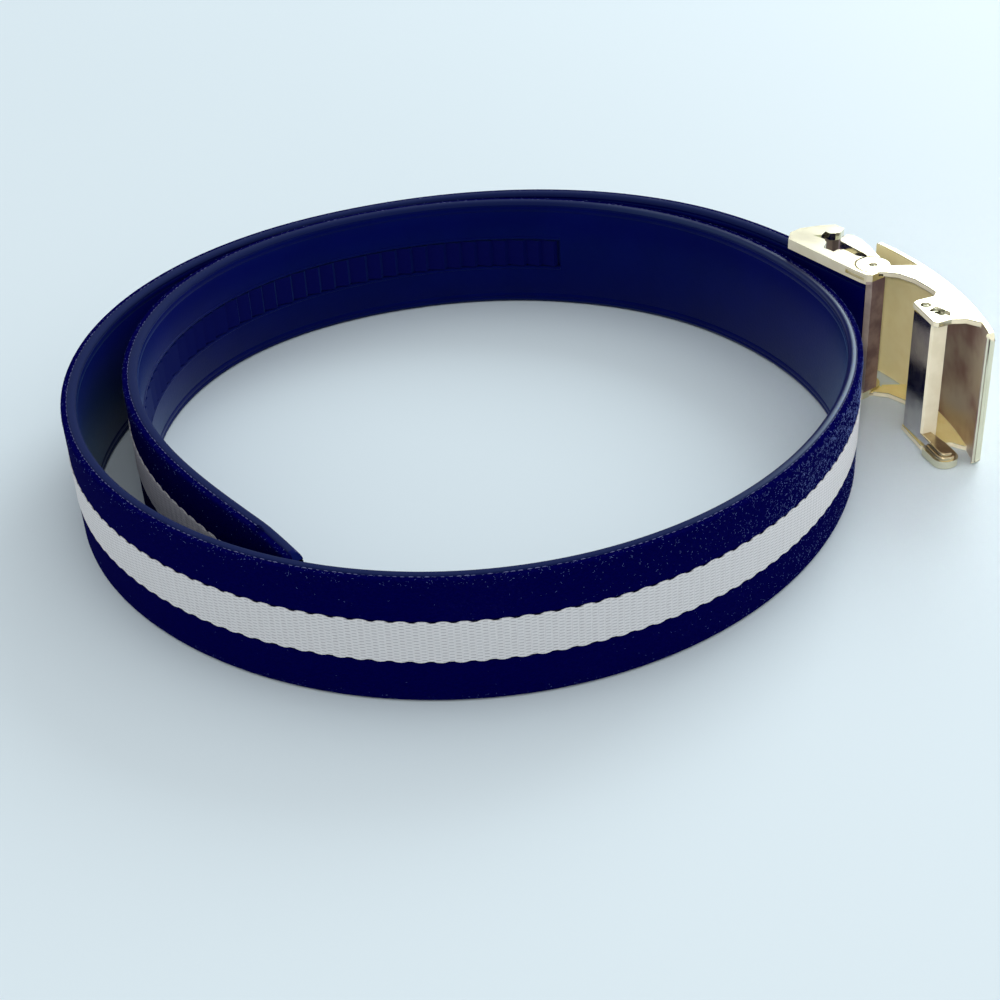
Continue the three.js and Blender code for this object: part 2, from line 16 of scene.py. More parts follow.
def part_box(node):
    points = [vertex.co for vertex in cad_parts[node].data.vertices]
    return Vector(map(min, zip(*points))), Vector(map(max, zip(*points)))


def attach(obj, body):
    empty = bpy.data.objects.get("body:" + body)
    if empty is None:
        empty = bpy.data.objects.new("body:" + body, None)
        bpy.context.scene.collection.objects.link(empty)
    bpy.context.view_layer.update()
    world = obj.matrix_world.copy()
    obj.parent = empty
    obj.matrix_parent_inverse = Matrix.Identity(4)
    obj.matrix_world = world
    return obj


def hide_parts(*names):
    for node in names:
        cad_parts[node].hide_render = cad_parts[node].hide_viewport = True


MM = 0.001
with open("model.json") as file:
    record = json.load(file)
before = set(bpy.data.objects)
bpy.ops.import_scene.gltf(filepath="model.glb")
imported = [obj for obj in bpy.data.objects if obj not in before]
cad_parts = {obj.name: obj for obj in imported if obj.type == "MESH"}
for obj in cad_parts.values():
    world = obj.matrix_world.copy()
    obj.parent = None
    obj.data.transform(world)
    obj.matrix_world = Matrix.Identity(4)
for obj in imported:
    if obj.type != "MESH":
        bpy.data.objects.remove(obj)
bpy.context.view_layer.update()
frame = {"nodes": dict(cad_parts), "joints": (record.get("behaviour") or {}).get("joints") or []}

# %% [markdown]
# Operators act on whatever is selected, and the loaded nodes start out selected. So every step first
# clears the selection, and then picks objects by name and faces, edges or vertices by their place.

# %% Helpers for selecting and for modifiers
ALIGNED = 0.9  # a face looks along a direction where its normal's part along it is more than this


def deselect_all():
    for item in list(bpy.context.selected_objects):
        item.select_set(False)


def work_on(piece):
    deselect_all()
    bpy.context.view_layer.objects.active = piece
    piece.select_set(True)


def middle_of(element):
    if isinstance(element, bmesh.types.BMVert):
        return element.co
    total = Vector((0, 0, 0))
    for corner in element.verts:
        total += corner.co
    return total / len(element.verts)


def choose(piece, kind, test):
    """In edit mode, selects the vertices, edges or faces that pass the test, and says how many."""
    bpy.ops.mesh.select_mode(type=kind)
    bpy.ops.mesh.select_all(action="DESELECT")
    mesh = bmesh.from_edit_mesh(piece.data)
    elements = {"VERT": mesh.verts, "EDGE": mesh.edges, "FACE": mesh.faces}[kind]
    chosen = [element for element in elements if test(element)]
    for element in chosen:
        element.select_set(True)
    mesh.select_flush_mode()
    bmesh.update_edit_mesh(piece.data)
    return len(chosen)


def start_edit(piece):
    work_on(piece)
    bpy.ops.object.mode_set(mode="EDIT")


def end_edit():
    bpy.ops.object.mode_set(mode="OBJECT")


def cut(place, towards, **settings):
    """In edit mode, cuts the whole piece along the plane at the place."""
    bpy.ops.mesh.select_all(action="SELECT")
    bpy.ops.mesh.bisect(plane_co=place, plane_no=towards, **settings)


def move(piece, test, by):
    """In edit mode, moves the vertices that pass the test."""
    choose(piece, "VERT", test)
    bpy.ops.transform.translate(value=by)


def use_modifier(piece, kind, **settings):
    """Adds one modifier, sets it up and applies it."""
    work_on(piece)
    modifier = piece.modifiers.new(kind.title(), kind)
    for name, value in settings.items():
        setattr(modifier, name, value)
    bpy.ops.object.modifier_apply(modifier=modifier.name)


def smooth(piece, degrees):
    work_on(piece)
    bpy.ops.object.shade_smooth_by_angle(angle=math.radians(degrees))


def round_edges(piece, test, offset, segments):
    """In edit mode, bevels the edges that pass the test."""
    choose(piece, "EDGE", test)
    bpy.ops.mesh.bevel(offset=offset, segments=segments, profile=0.5, affect="EDGES")


def fixed_primitive(name):
    """Names the new primitive and puts its place, turn and size into its mesh."""
    piece = bpy.context.object
    piece.name = name
    bpy.ops.object.transform_apply(location=True, rotation=True, scale=True)
    return piece


def add_object(name, data):
    item = bpy.data.objects.new(name, data)
    bpy.context.scene.collection.objects.link(item)
    return item


def curve_through(name, places):
    """A curve of straight parts through the places."""
    curve = bpy.data.curves.new(name, "CURVE")
    curve.dimensions = "3D"
    line = curve.splines.new("POLY")
    line.points.add(len(places) - 1)
    for spot, place in zip(line.points, places):
        spot.co = (*place, 1)
    return add_object(name, curve)


def free_copy(source, name):
    """A copy with a mesh of its own that rides on nothing yet."""
    work_on(source)
    bpy.ops.object.duplicate()
    piece = bpy.context.object
    piece.name = name
    piece.parent = None
    for key in list(piece.keys()):
        del piece[key]
    return piece


def join(pieces):
    """Joins the pieces into the first one."""
    work_on(pieces[0])
    for piece in pieces:
        piece.select_set(True)
    bpy.ops.object.join()


def rows_of(items, key):
    """One row of three numbers for each of a mesh's items."""
    values = np.empty(len(items) * 3, np.float32)
    items.foreach_get(key, values)
    return values.reshape(-1, 3)


def report(piece):
    triangles = sum(len(face.vertices) - 2 for face in piece.data.polygons)
    print(piece.name, "has", triangles, "triangles")


# %% [markdown]
# The strap is one long band, so every layer of it is modelled flat, as it lies on the cutting table: X
# runs along the strap from the cut end to the tip, Y points towards the waist, and Z is the height. A
# Curve modifier then bends each layer along the same route. The route is a table of bend radii, with
# the curvature changing evenly between two rows, and it starts at the clamp, which is placed by the
# hinge joint.

# %% The strap's route
STRAP_LENGTH = 1040 * MM
STRAP_WIDTH = 35 * MM
STRAIGHT_IN_CLAMP = 30  # mm
BENDS = [  # (distance along the strap, bend radius), in mm
    (30, 171), (68, 99), (118, 112), (178, 124), (248, 95.2), (318, 94.7), (388, 111), (458, 97.7),
    (528, 106.7), (588, 125.5), (613, 90.2), (638, 72.5), (663, 104.1), (688, 106.9), (713, 87),
    (748, 106.8), (778, 105.9), (808, 118.8), (868, 76.8), (923, 86.8), (973, 118.5), (1018, 1300),
    (1040, -142),
]
CLAMP_HEADING = math.radians(-56.2)
STRAP_END_IN_CLAMP = Vector((1.6 * MM, -2.35 * MM))  # from the hinge pin, in the clamp's own directions
LIFT_HEIGHT = 2.5 * MM  # the buckle holds the strap's first end off the ground
LIFT_START = 24 * MM
LIFT_END = 190 * MM
BEYOND_TIP = 6  # the route runs on past the tip by this many mm

hinge = next(joint for joint in frame["joints"] if joint["name"] == "frame_swing")
hinge_place = Vector(hinge["pos_m"][:2])


def route_points():
    """The route's points, one per millimetre."""
    turn = Matrix.Rotation(CLAMP_HEADING, 2)
    x, y = hinge_place + turn @ STRAP_END_IN_CLAMP
    heading = CLAMP_HEADING + math.pi
    places = [row[0] for row in BENDS]
    curvatures = [1 / row[1] for row in BENDS]
    points = []
    for at in range(int(STRAP_LENGTH / MM) + BEYOND_TIP):
        points.append((x, y, 0))
        middle = at + 0.5
        bend = 0 if middle < STRAIGHT_IN_CLAMP else float(np.interp(middle, places, curvatures))
        half = heading + bend / 2
        x += math.cos(half) * MM
        y += math.sin(half) * MM
        heading += bend
    return points


route = curve_through("strap_route", route_points())
route.data.twist_mode = "Z_UP"


def lift_at(distance):
    share = np.clip((LIFT_END - distance) / (LIFT_END - LIFT_START), 0, 1)
    return LIFT_HEIGHT * share * share * (3 - 2 * share)


def bend_along_route(piece):
    """Keeps the flat places in mm as an attribute, lifts the clamped end and bends the piece."""
    places = rows_of(piece.data.vertices, "co")
    attribute = piece.data.attributes.new("strap_place", "FLOAT_VECTOR", "POINT")
    attribute.data.foreach_set("vector", (places / MM).ravel())
    places[:, 2] += lift_at(places[:, 0])
    piece.data.vertices.foreach_set("co", places.ravel())
    use_modifier(piece, "CURVE", object=route, deform_axis="POS_X")


# %% [markdown]
# A band of any cross-section starts as one short slice, cut and shaped from a cube. Its two end faces
# are taken off, an Array repeats it and merges the seams, and the two open ends are closed. So the
# whole strap has an edge loop every few millimetres, which is what the Curve modifier needs to bend it
# smoothly.

# %% Slices and bands
SLICES = 400
SLICE = STRAP_LENGTH / SLICES
MERGE = 0.002 * MM
INNER_FACE = 1.975 * MM  # the leather's waist side, in the flat piece's Y
LEATHER_BACK = -0.425 * MM  # the leather's other side, towards the facing
FACING_BACK = -0.45 * MM
OUTER_FACE = -1.975 * MM


def slice_block(name, length, y_range, z_range, start=0.0):
    """A block that runs from start to start + length along the strap."""
    deselect_all()
    size = (length, y_range[1] - y_range[0], z_range[1] - z_range[0])
    middle = (start + length / 2, sum(y_range) / 2, sum(z_range) / 2)
    bpy.ops.mesh.primitive_cube_add(size=1, location=middle)
    bpy.context.object.scale = size
    return fixed_primitive(name)


def is_along(edge):
    """True for an edge that runs along the strap."""
    first, second = edge.verts
    return abs(first.co.x - second.co.x) > MERGE


def cut_at_heights(heights):
    for height in heights:
        cut((0, 0, height), (0, 0, 1))


def open_ends(piece):
    choose(piece, "FACE", lambda f: abs(f.normal.x) > ALIGNED)
    bpy.ops.mesh.delete(type="ONLY_FACE")


def close_end(piece, place):
    if choose(piece, "EDGE", lambda e: all(abs(v.co.x - place) < MERGE for v in e.verts)):
        bpy.ops.mesh.edge_face_add()


def repeat(piece, count, step, **settings):
    """Repeats the piece along the strap."""
    use_modifier(
        piece,
        "ARRAY",
        count=count,
        use_relative_offset=False,
        use_constant_offset=True,
        constant_offset_displace=(step, 0, 0),
        **settings,
    )


def repeat_slice(piece, length, count, start=0.0):
    """Repeats an open slice into a closed band."""
    repeat(piece, count, length, use_merge_vertices=True, merge_threshold=MERGE)
    start_edit(piece)
    close_end(piece, start)
    close_end(piece, start + length * count)
    bpy.ops.mesh.select_all(action="SELECT")
    bpy.ops.mesh.normals_make_consistent(inside=False)
    end_edit()


TAPER = 14 * MM  # over this length before the tip both edges come in
NARROWING = 1.5 * MM  # by this much each
TIP_CORNERS = ((1.3 * MM, 1, 1), (0.55 * MM, 1, 2.6))  # from the end, and the way each cut faces


def shape_tip(piece, trim=0.0):
    """Narrows the strap's end evenly and rounds its corners off with flat cuts."""
    half = STRAP_WIDTH / 2
    for vertex in piece.data.vertices:
        share = max(0.0, 1 - (STRAP_LENGTH - vertex.co.x) / TAPER)
        from_middle = (vertex.co.z - half) / half
        vertex.co.z -= NARROWING * share * from_middle
    start_edit(piece)
    for back, along, across in TIP_CORNERS:
        for side in (1, -1):
            corner = half + side * (half - NARROWING - trim)
            place = (STRAP_LENGTH - back, 0, corner)
            cut(place, (along, 0, side * across), use_fill=True, clear_outer=True)
    end_edit()


# %% [markdown]
# The leather is 2.4 mm thick. Its cut edges are sealed with glossy paint that rounds them over, and two
# creased lines run inside each edge. The slice gets its round edges from a bevel, and the creases from
# bisect cuts whose middle vertices are pushed in. A Boolean then cuts the channel for the toothed
# track.

# %% The leather
EDGE_ROUND = 1.15 * MM
BACK_ROUND = 0.55 * MM
CREASES = (1.7 * MM, 3.3 * MM)  # from each edge
CREASE_HALF = 0.28 * MM
CREASE_DEPTH = 0.16 * MM
CHANNEL_START = 755 * MM
CHANNEL_END = 986 * MM
CHANNEL_SLICES = 90
CHANNEL_SLICE = (CHANNEL_END - CHANNEL_START) / CHANNEL_SLICES
CHANNEL_HALF = 4.6 * MM
CHANNEL_DEPTH = 1.3 * MM
MID_HEIGHT = STRAP_WIDTH / 2


def leather_band():
    piece = slice_block("strap_leather", SLICE, (LEATHER_BACK, INNER_FACE), (0, STRAP_WIDTH))
    start_edit(piece)
    round_edges(piece, lambda e: is_along(e) and middle_of(e).y > INNER_FACE - MERGE, EDGE_ROUND, 6)
    round_edges(piece, lambda e: is_along(e) and middle_of(e).y < LEATHER_BACK + MERGE, BACK_ROUND, 3)
    lines = [*CREASES, *(STRAP_WIDTH - crease for crease in CREASES)]
    for line in lines:
        cut_at_heights([line - CREASE_HALF, line, line + CREASE_HALF])
    press = (0, -CREASE_DEPTH, 0)
    for line in lines:
        move(piece, lambda v: abs(v.co.z - line) < MERGE and v.co.y > INNER_FACE - MERGE, press)
    open_ends(piece)
    end_edit()
    repeat_slice(piece, SLICE, SLICES)
    shape_tip(piece)
    return piece


def channel_cutter():
    depth_range = (INNER_FACE - CHANNEL_DEPTH, INNER_FACE + CHANNEL_DEPTH)
    height_range = (MID_HEIGHT - CHANNEL_HALF, MID_HEIGHT + CHANNEL_HALF)
    cutter = slice_block("channel_cutter", CHANNEL_SLICE, depth_range, height_range, CHANNEL_START)
    start_edit(cutter)
    open_ends(cutter)
    end_edit()
    repeat_slice(cutter, CHANNEL_SLICE, CHANNEL_SLICES, CHANNEL_START)
    return cutter


leather = leather_band()
cutter = channel_cutter()
use_modifier(leather, "BOOLEAN", object=cutter, operation="DIFFERENCE", solver="EXACT")
bpy.data.objects.remove(cutter)
bend_along_route(leather)
smooth(leather, 40)
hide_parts("strap_backing")
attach(leather, "belt")
report(leather)

# %% [markdown]
# A low round welt runs along each side of the channel. It is a thin bar with a rounded top, half sunk
# in the leather, and it is repeated and bent as the channel is.

# %% The welts beside the channel
WELT_HALF = 0.35 * MM
WELT_RISE = 0.25 * MM
WELT_ROUND = 0.24 * MM
WELT_SET = 0.55 * MM  # from the channel's border to the welt's middle


def welt(name, middle):
    depth_range = (INNER_FACE - WELT_RISE, INNER_FACE + WELT_RISE)
    height_range = (middle - WELT_HALF, middle + WELT_HALF)
    piece = slice_block(name, CHANNEL_SLICE, depth_range, height_range, CHANNEL_START)
    start_edit(piece)
    round_edges(piece, lambda e: is_along(e) and middle_of(e).y > INNER_FACE, WELT_ROUND, 3)
    open_ends(piece)
    end_edit()
    repeat_slice(piece, CHANNEL_SLICE, CHANNEL_SLICES, CHANNEL_START)
    bend_along_route(piece)
    smooth(piece, 60)
    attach(piece, "belt")
    report(piece)
    return piece


welts = [
    welt("channel_welt_top", MID_HEIGHT + CHANNEL_HALF + WELT_SET),
    welt("channel_welt_bottom", MID_HEIGHT - CHANNEL_HALF - WELT_SET),
]

# %% [markdown]
# The facing is a thick woven band with a napped, dark face. It stops just inside the leather's edges,
# its outer corners are soft, and it is woven thinner along the middle, where the stripe lies.

# %% The facing
FACING_TRIM = 0.3 * MM
FACING_ROUND = 0.55 * MM
STRIPE_BED_HALF = 5.9 * MM
STRIPE_BED_DEPTH = 0.9 * MM
NAP_BORDER = 1.5 * MM  # the nap is thicker within this of the edges


def facing_band():
    low, high = FACING_TRIM, STRAP_WIDTH - FACING_TRIM
    piece = slice_block("strap_weave", SLICE, (OUTER_FACE, FACING_BACK), (low, high))
    start_edit(piece)
    round_edges(piece, lambda e: is_along(e) and middle_of(e).y < OUTER_FACE + MERGE, FACING_ROUND, 4)
    cut_at_heights([low + NAP_BORDER, high - NAP_BORDER])
    cut_at_heights([MID_HEIGHT - STRIPE_BED_HALF, MID_HEIGHT + STRIPE_BED_HALF])
    bed = STRIPE_BED_HALF / 2
    choose(piece, "FACE", lambda f: f.normal.y < -ALIGNED and abs(middle_of(f).z - MID_HEIGHT) < bed)
    bpy.ops.mesh.extrude_region_move(TRANSFORM_OT_translate={"value": (0, STRIPE_BED_DEPTH, 0)})
    open_ends(piece)
    end_edit()
    repeat_slice(piece, SLICE, SLICES)
    shape_tip(piece, FACING_TRIM)
    bend_along_route(piece)
    smooth(piece, 50)
    return piece


facing = facing_band()
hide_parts("strap_facing")
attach(facing, "belt")
report(facing)

# %% [markdown]
# The stripe is a white twill whose two edges swell out in small scallops. Its face is a pattern of
# short floats, side by side in columns, and each column is half a row off the next. One slice holds two
# scallops and six columns: its face is bisected column by column, and every float is inset and raised.

# %% The stripe
STRIPE_HALF = 5.6 * MM
STRIPE_FACE = OUTER_FACE - 0.2 * MM
STRIPE_THICKNESS = 0.8 * MM
STRIPE_SLICES = 112
STRIPE_SLICE = STRAP_LENGTH / STRIPE_SLICES
COLUMNS = 6
ROWS = 13
ROW = 0.84 * MM
SCALLOP = STRIPE_SLICE / 2
SCALLOP_RISE = 0.8 * MM
SCALLOP_SHIFT = 1.0 * MM  # the lower edge's scallops lie this much further along
SCALLOP_ROUND = 0.8  # below 1 the scallops are rounder than a sine's
SCALLOP_MEAN = 0.62  # the mean of their height, as a share of it
FLOAT_INSET = 0.1 * MM
FLOAT_RISE = 0.09 * MM


def scallop(distance):
    """How far the stripe's edge swells out, from below its mean edge to above it."""
    share = (distance / SCALLOP) % 1
    return SCALLOP_RISE * (math.sin(math.pi * share) ** SCALLOP_ROUND - SCALLOP_MEAN)


def stripe_slice():
    piece = slice_block(
        "stripe_weave",
        STRIPE_SLICE,
        (STRIPE_FACE + FLOAT_RISE, STRIPE_FACE + STRIPE_THICKNESS),
        (MID_HEIGHT - STRIPE_HALF, MID_HEIGHT + STRIPE_HALF),
    )
    start_edit(piece)
    column = STRIPE_SLICE / COLUMNS
    for i in range(1, 2 * COLUMNS):
        cut((i * column / 2, 0, 0), (1, 0, 0))
    edge_heights = (MID_HEIGHT - ROWS * ROW / 2, MID_HEIGHT + ROWS * ROW / 2)
    cut_at_heights(edge_heights)
    for i in range(1, 2 * COLUMNS, 2):
        middle = i * column / 2
        choose(
            piece,
            "EDGE",
            lambda e: abs(middle_of(e).x - middle) < MERGE
            and not is_along(e)
            and all(v.co.y < STRIPE_FACE + FLOAT_RISE + MERGE for v in e.verts)
            and abs(middle_of(e).z - MID_HEIGHT) < ROW,
        )
        bpy.ops.mesh.dissolve_edges(use_verts=False)
    for i in range(COLUMNS):
        shift = ROW / 2 if i % 2 else 0.0
        for row in range(1, ROWS + 1):
            height = edge_heights[0] + row * ROW - shift
            if height > edge_heights[1] - MERGE:
                continue
            choose(
                piece,
                "FACE",
                lambda f: f.normal.y < -ALIGNED
                and abs(middle_of(f).x - (i + 0.5) * column) < column / 4
                and abs(middle_of(f).z - MID_HEIGHT) < ROWS * ROW / 2,
            )
            bpy.ops.mesh.bisect(plane_co=(0, 0, height), plane_no=(0, 0, 1))
    low, high = edge_heights
    choose(piece, "FACE", lambda f: f.normal.y < -ALIGNED and low < middle_of(f).z < high)
    bpy.ops.mesh.inset(thickness=FLOAT_INSET, depth=FLOAT_RISE, use_individual=True)
    for i in range(2 * COLUMNS + 1):
        place = i * column / 2
        for side, shift in ((1, 0.0), (-1, SCALLOP_SHIFT)):
            move(
                piece,
                lambda v: abs(v.co.x - place) < MERGE
                and side * (v.co.z - MID_HEIGHT) > STRIPE_HALF - MERGE,
                (0, 0, side * scallop(place + shift)),
            )
    open_ends(piece)
    end_edit()
    return piece


stripe = stripe_slice()
repeat_slice(stripe, STRIPE_SLICE, STRIPE_SLICES)
bend_along_route(stripe)
smooth(stripe, 30)
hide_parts("stripe_ribbon")
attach(stripe, "belt")
report(stripe)

# %% [markdown]
# The buckle's parts are cast and polished metal. Their shape is in the model already, so each one is a
# copy of its node: the copy's loose triangles are merged, flat faces are joined again, and a small
# bevel rounds every edge, because a real edge always catches a line of light.

# %% The metal parts
METAL_PARTS = {  # the copy's name, its body and the rounding of its edges
    "buckle_frame": ("polished_frame", "frame", 0.24 * MM),
    "clamp_body": ("polished_clamp", "belt", 0.14 * MM),
    "pawl_lever": ("polished_pawl", "pawl", 0.15 * MM),
    "clamp_jaw": ("polished_jaw", "jaw", 0.12 * MM),
}

PAD_STEPS = ((4.2 * MM, 0.5 * MM), (3.4 * MM, 0.5 * MM))  # the pad's crown and shoulder: height, rounding
PAD_TOP = PAD_STEPS[0][0]
RIM_ANGLE = math.radians(60)
FLAT_ANGLE = math.radians(0.4)
ROUNDED_ANGLE = math.radians(28)


def is_rim(edge, height):
    """True for an edge at this height that stands out of the piece."""
    if any(abs(vertex.co.z - height) > MERGE for vertex in edge.verts):
        return False
    return len(edge.link_faces) == 2 and edge.calc_face_angle_signed(0) > RIM_ANGLE


def polished_copy(node, name, body, edge):
    piece = free_copy(frame["nodes"][node], name)
    start_edit(piece)
    bpy.ops.mesh.select_all(action="SELECT")
    bpy.ops.mesh.remove_doubles(threshold=MERGE)
    bpy.ops.mesh.dissolve_limited(angle_limit=FLAT_ANGLE)
    if node == "pawl_lever":
        for height, rounding in PAD_STEPS:
            round_edges(piece, lambda e: is_rim(e, height), rounding, 5)
    end_edit()
    use_modifier(
        piece,
        "BEVEL",
        width=edge,
        segments=2,
        limit_method="ANGLE",
        angle_limit=ROUNDED_ANGLE,
        use_clamp_overlap=node != "buckle_frame",
    )
    smooth(piece, 32)
    use_modifier(piece, "WEIGHTED_NORMAL", keep_sharp=True, weight=80)
    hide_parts(node)
    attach(piece, body)
    report(piece)
    return piece


metal = {node: polished_copy(node, *settings) for node, settings in METAL_PARTS.items()}

# %% [markdown]
# A pin's end is peened: its rim is rounded and its middle has a small dimple. Each pin is a cylinder
# whose end faces are inset and pushed in, and it stands where the node's box says.

# %% The pins
PINS = {
    "pawl_pin": ("peened_pawl_pin", "frame"),
    "jaw_pin": ("peened_jaw_pin", "belt"),
    "hinge_rivet_top": ("peened_rivet_top", "belt"),
    "hinge_rivet_bottom": ("peened_rivet_bottom", "belt"),
}
PIN_STEPS = ((0.2, 0.12), (0.35, 0), (0.15, -0.2))  # width and rise of each inset, in radii


def peened_pin(node, name, body):
    low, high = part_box(node)
    middle = (low + high) / 2
    radius = (high.x - low.x) / 2
    deselect_all()
    bpy.ops.mesh.primitive_cylinder_add(
        vertices=32, radius=radius, depth=high.z - low.z, location=tuple(middle)
    )
    piece = fixed_primitive(name)
    start_edit(piece)
    choose(piece, "FACE", lambda f: abs(f.normal.z) > ALIGNED)
    for width, rise in PIN_STEPS:
        bpy.ops.mesh.inset(thickness=radius * width, depth=radius * rise, use_individual=True)
    end_edit()
    smooth(piece, 50)
    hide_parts(node)
    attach(piece, body)
    report(piece)
    return piece


pins = [peened_pin(node, *settings) for node, settings in PINS.items()]

# %% [markdown]
# A bent wire clip sits in a slot of each lug. Its wire is an oval loop that crosses itself: a curve
# with a round profile, turned into a mesh, on the clip's flat foot.

# %% The spring clips
CLIP_WIRE = 0.3 * MM
CLIP_LOOP = (1.55 * MM, 0.75 * MM)
CLIP_TURN = math.radians(-51)
CLIP_POINTS = 40
CLIP_RISE = 0.28 * MM  # the wire rises and falls by this much along the loop
CLIP_LIFT = {1: 0.21 * MM, -1: -0.48 * MM}  # of the loop's middle, and the lower one stays off the ground
CLIP_FOOT = 0.5 * MM  # the foot is thinner than the node by this much
CLIPS = {"spring_clip_top": ("wire_clip_top", 1), "spring_clip_bottom": ("wire_clip_bottom", -1)}


def wire_clip(node, name, side):
    """side is 1 where the clip's open face looks up and -1 where it looks down."""
    low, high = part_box(node)
    middle = (low + high) / 2
    face = high.z if side > 0 else low.z
    turn = Matrix.Rotation(CLIP_TURN, 2)
    places = []
    for i in range(CLIP_POINTS):
        angle = 2 * math.pi * i / CLIP_POINTS
        x, y = turn @ Vector((CLIP_LOOP[0] * math.sin(angle), CLIP_LOOP[1] * math.sin(2 * angle)))
        rise = side * (CLIP_LIFT[side] + CLIP_RISE * math.cos(angle))
        places.append((middle.x + x, middle.y + y, face + rise))
    wire = curve_through(name, places)
    wire.data.bevel_depth = CLIP_WIRE
    wire.data.bevel_resolution = 2
    wire.data.splines[0].use_cyclic_u = True
    work_on(wire)
    bpy.ops.object.convert(target="MESH")
    wire = bpy.context.object
    foot = free_copy(frame["nodes"][node], name + "_foot")
    for vertex in foot.data.vertices:
        if abs(vertex.co.z - face) < MERGE:
            vertex.co.z -= side * CLIP_FOOT
    join([wire, foot])
    smooth(wire, 40)
    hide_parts(node)
    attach(wire, "frame")
    report(wire)
    return wire


clips = [wire_clip(node, *settings) for node, settings in CLIPS.items()]

# %% [markdown]
# A material is a tree of nodes. To keep the shader maths readable, a small class wraps a socket, so
# that 1 - mask or a * b adds the Math nodes, and one method adds any other node with its settings and
# inputs.

# %% Sockets as numbers


class Signal:
    """A node's output that takes part in Python expressions."""

    def __init__(self, paint, socket):
        self.paint = paint
        self.socket = socket

    def math(self, operation, *values):
        inputs = dict(enumerate((self, *values)))
        return self.paint.add("ShaderNodeMath", {"operation": operation}, inputs)

    def __add__(self, other):
        return self.math("ADD", other)

    __radd__ = __add__

    def __mul__(self, other):
        return self.math("MULTIPLY", other)

    __rmul__ = __mul__

    def __sub__(self, other):
        return self.math("SUBTRACT", other)

    def __rsub__(self, other):
        return self.paint.add("ShaderNodeMath", {"operation": "SUBTRACT"}, {0: other, 1: self})

    def __truediv__(self, other):
        return self.math("DIVIDE", other)

    def __mod__(self, other):
        return self.math("FLOORED_MODULO", other)

    def smooth(self, low, high):
        """0 below low, 1 above high and a soft step between them."""
        settings = {"interpolation_type": "SMOOTHSTEP"}
        return self.paint.add("ShaderNodeMapRange", settings, {0: self, 1: low, 2: high})


class Paint:
    """A material and the nodes that are added to it."""

    def __init__(self, name, tree=None):
        self.material = None
        if tree is None:
            self.material = bpy.data.materials.new(name)
            self.material.use_nodes = True
            tree = self.material.node_tree
        self.tree = tree

    def add(self, kind, settings=None, values=None, output=0):
        node = self.tree.nodes.new(kind)
        for name, value in (settings or {}).items():
            setattr(node, name, value)
        for socket, value in (values or {}).items():
            self.feed(node.inputs[socket], value)
        return Signal(self, node.outputs[output])

    def feed(self, target, value):
        if isinstance(value, Signal):
            self.tree.links.new(value.socket, target)
        else:
            target.default_value = value

    def noise(self, vector, scale, detail=2.0, roughness=0.5):
        values = {"Vector": vector, "Scale": scale, "Detail": detail, "Roughness": roughness}
        return self.add("ShaderNodeTexNoise", {}, values)

    def mix(self, factor, first, second):
        """A mix of two colours."""
        values = {"Factor": factor, 6: first, 7: second}
        return self.add("ShaderNodeMix", {"data_type": "RGBA"}, values, 2)

    def scaled(self, vector, factors):
        values = {0: vector, 1: factors}
        return self.add("ShaderNodeVectorMath", {"operation": "MULTIPLY"}, values)

    def bump(self, height, distance, strength=1.0):
        values = {"Height": height, "Distance": distance, "Strength": strength}
        return self.add("ShaderNodeBump", {}, values)

    def shade(self, **values):
        """Sets the main shader's sockets: Base_Color stands for Base Color."""
        shader = self.tree.nodes["Principled BSDF"]
        for name, value in values.items():
            self.feed(shader.inputs[name.replace("_", " ")], value)

    def strap_place(self):
        """The place on the flat strap, in mm."""
        return self.add("ShaderNodeAttribute", {"attribute_name": "strap_place"}, {}, "Vector")

    def split(self, vector):
        """A vector's three numbers."""
        first = self.add("ShaderNodeSeparateXYZ", {}, {"Vector": vector})
        return [Signal(self, output) for output in first.socket.node.outputs]

    def object_place(self):
        return self.add("ShaderNodeTexCoord", {}, {}, "Object")


def dress(paint, *pieces):
    for piece in pieces:
        piece.data.materials.clear()
        piece.data.materials.append(paint.material)


def rgb(red, green, blue):
    """A colour as a shader takes it, from the values of a colour picker."""
    def linear(value):
        share = value / 255
        return share / 12.92 if share <= 0.04045 else ((share + 0.055) / 1.055) ** 2.4
    return (linear(red), linear(green), linear(blue), 1.0)


# %% [markdown]
# The leather is black-navy with a fine pebble grain, and looks bluer where it is seen at a low angle.
# The painted edge is a thick gloss coat without grain. It is a second material, given to the faces near
# the rim.

# %% Leather
WIDTH_MM = STRAP_WIDTH / MM
NAVY = ((0.0001, 0.0001, 0.066, 1), (0.0002, 0.0003, 0.076, 1))
SHEEN_BLUE = (0.2, 0.55, 1.0, 1)
GLOSS_FROM = (500, 600)  # mm along the strap, where the painted edge's gloss comes in
GLOSS_TO = (700, 760)  # and where it fades out again


def leather_paint():
    paint = Paint("navy_leather")
    place = paint.strap_place()
    pebbles = {"Vector": place, "Scale": 1.6, "Randomness": 1.0}
    grain = paint.add("ShaderNodeTexVoronoi", {"feature": "SMOOTH_F1"}, pebbles)
    fine = paint.noise(place, 2.2, 4.0, 0.6)
    cloud = paint.noise(place, 0.05, 2.0)
    paint.shade(
        Base_Color=paint.mix(cloud.smooth(0.35, 0.65), *NAVY),
        Roughness=0.32 + fine * 0.08,
        Specular_IOR_Level=0.1,
        Specular_Tint=(0.2, 0.6, 1.0, 1.0),
        Sheen_Weight=0.13,
        Sheen_Roughness=0.35,
        Sheen_Tint=SHEEN_BLUE,
        Normal=paint.bump(grain * 0.7 + fine * 0.5, 0.05 * MM, 0.5),
    )
    return paint


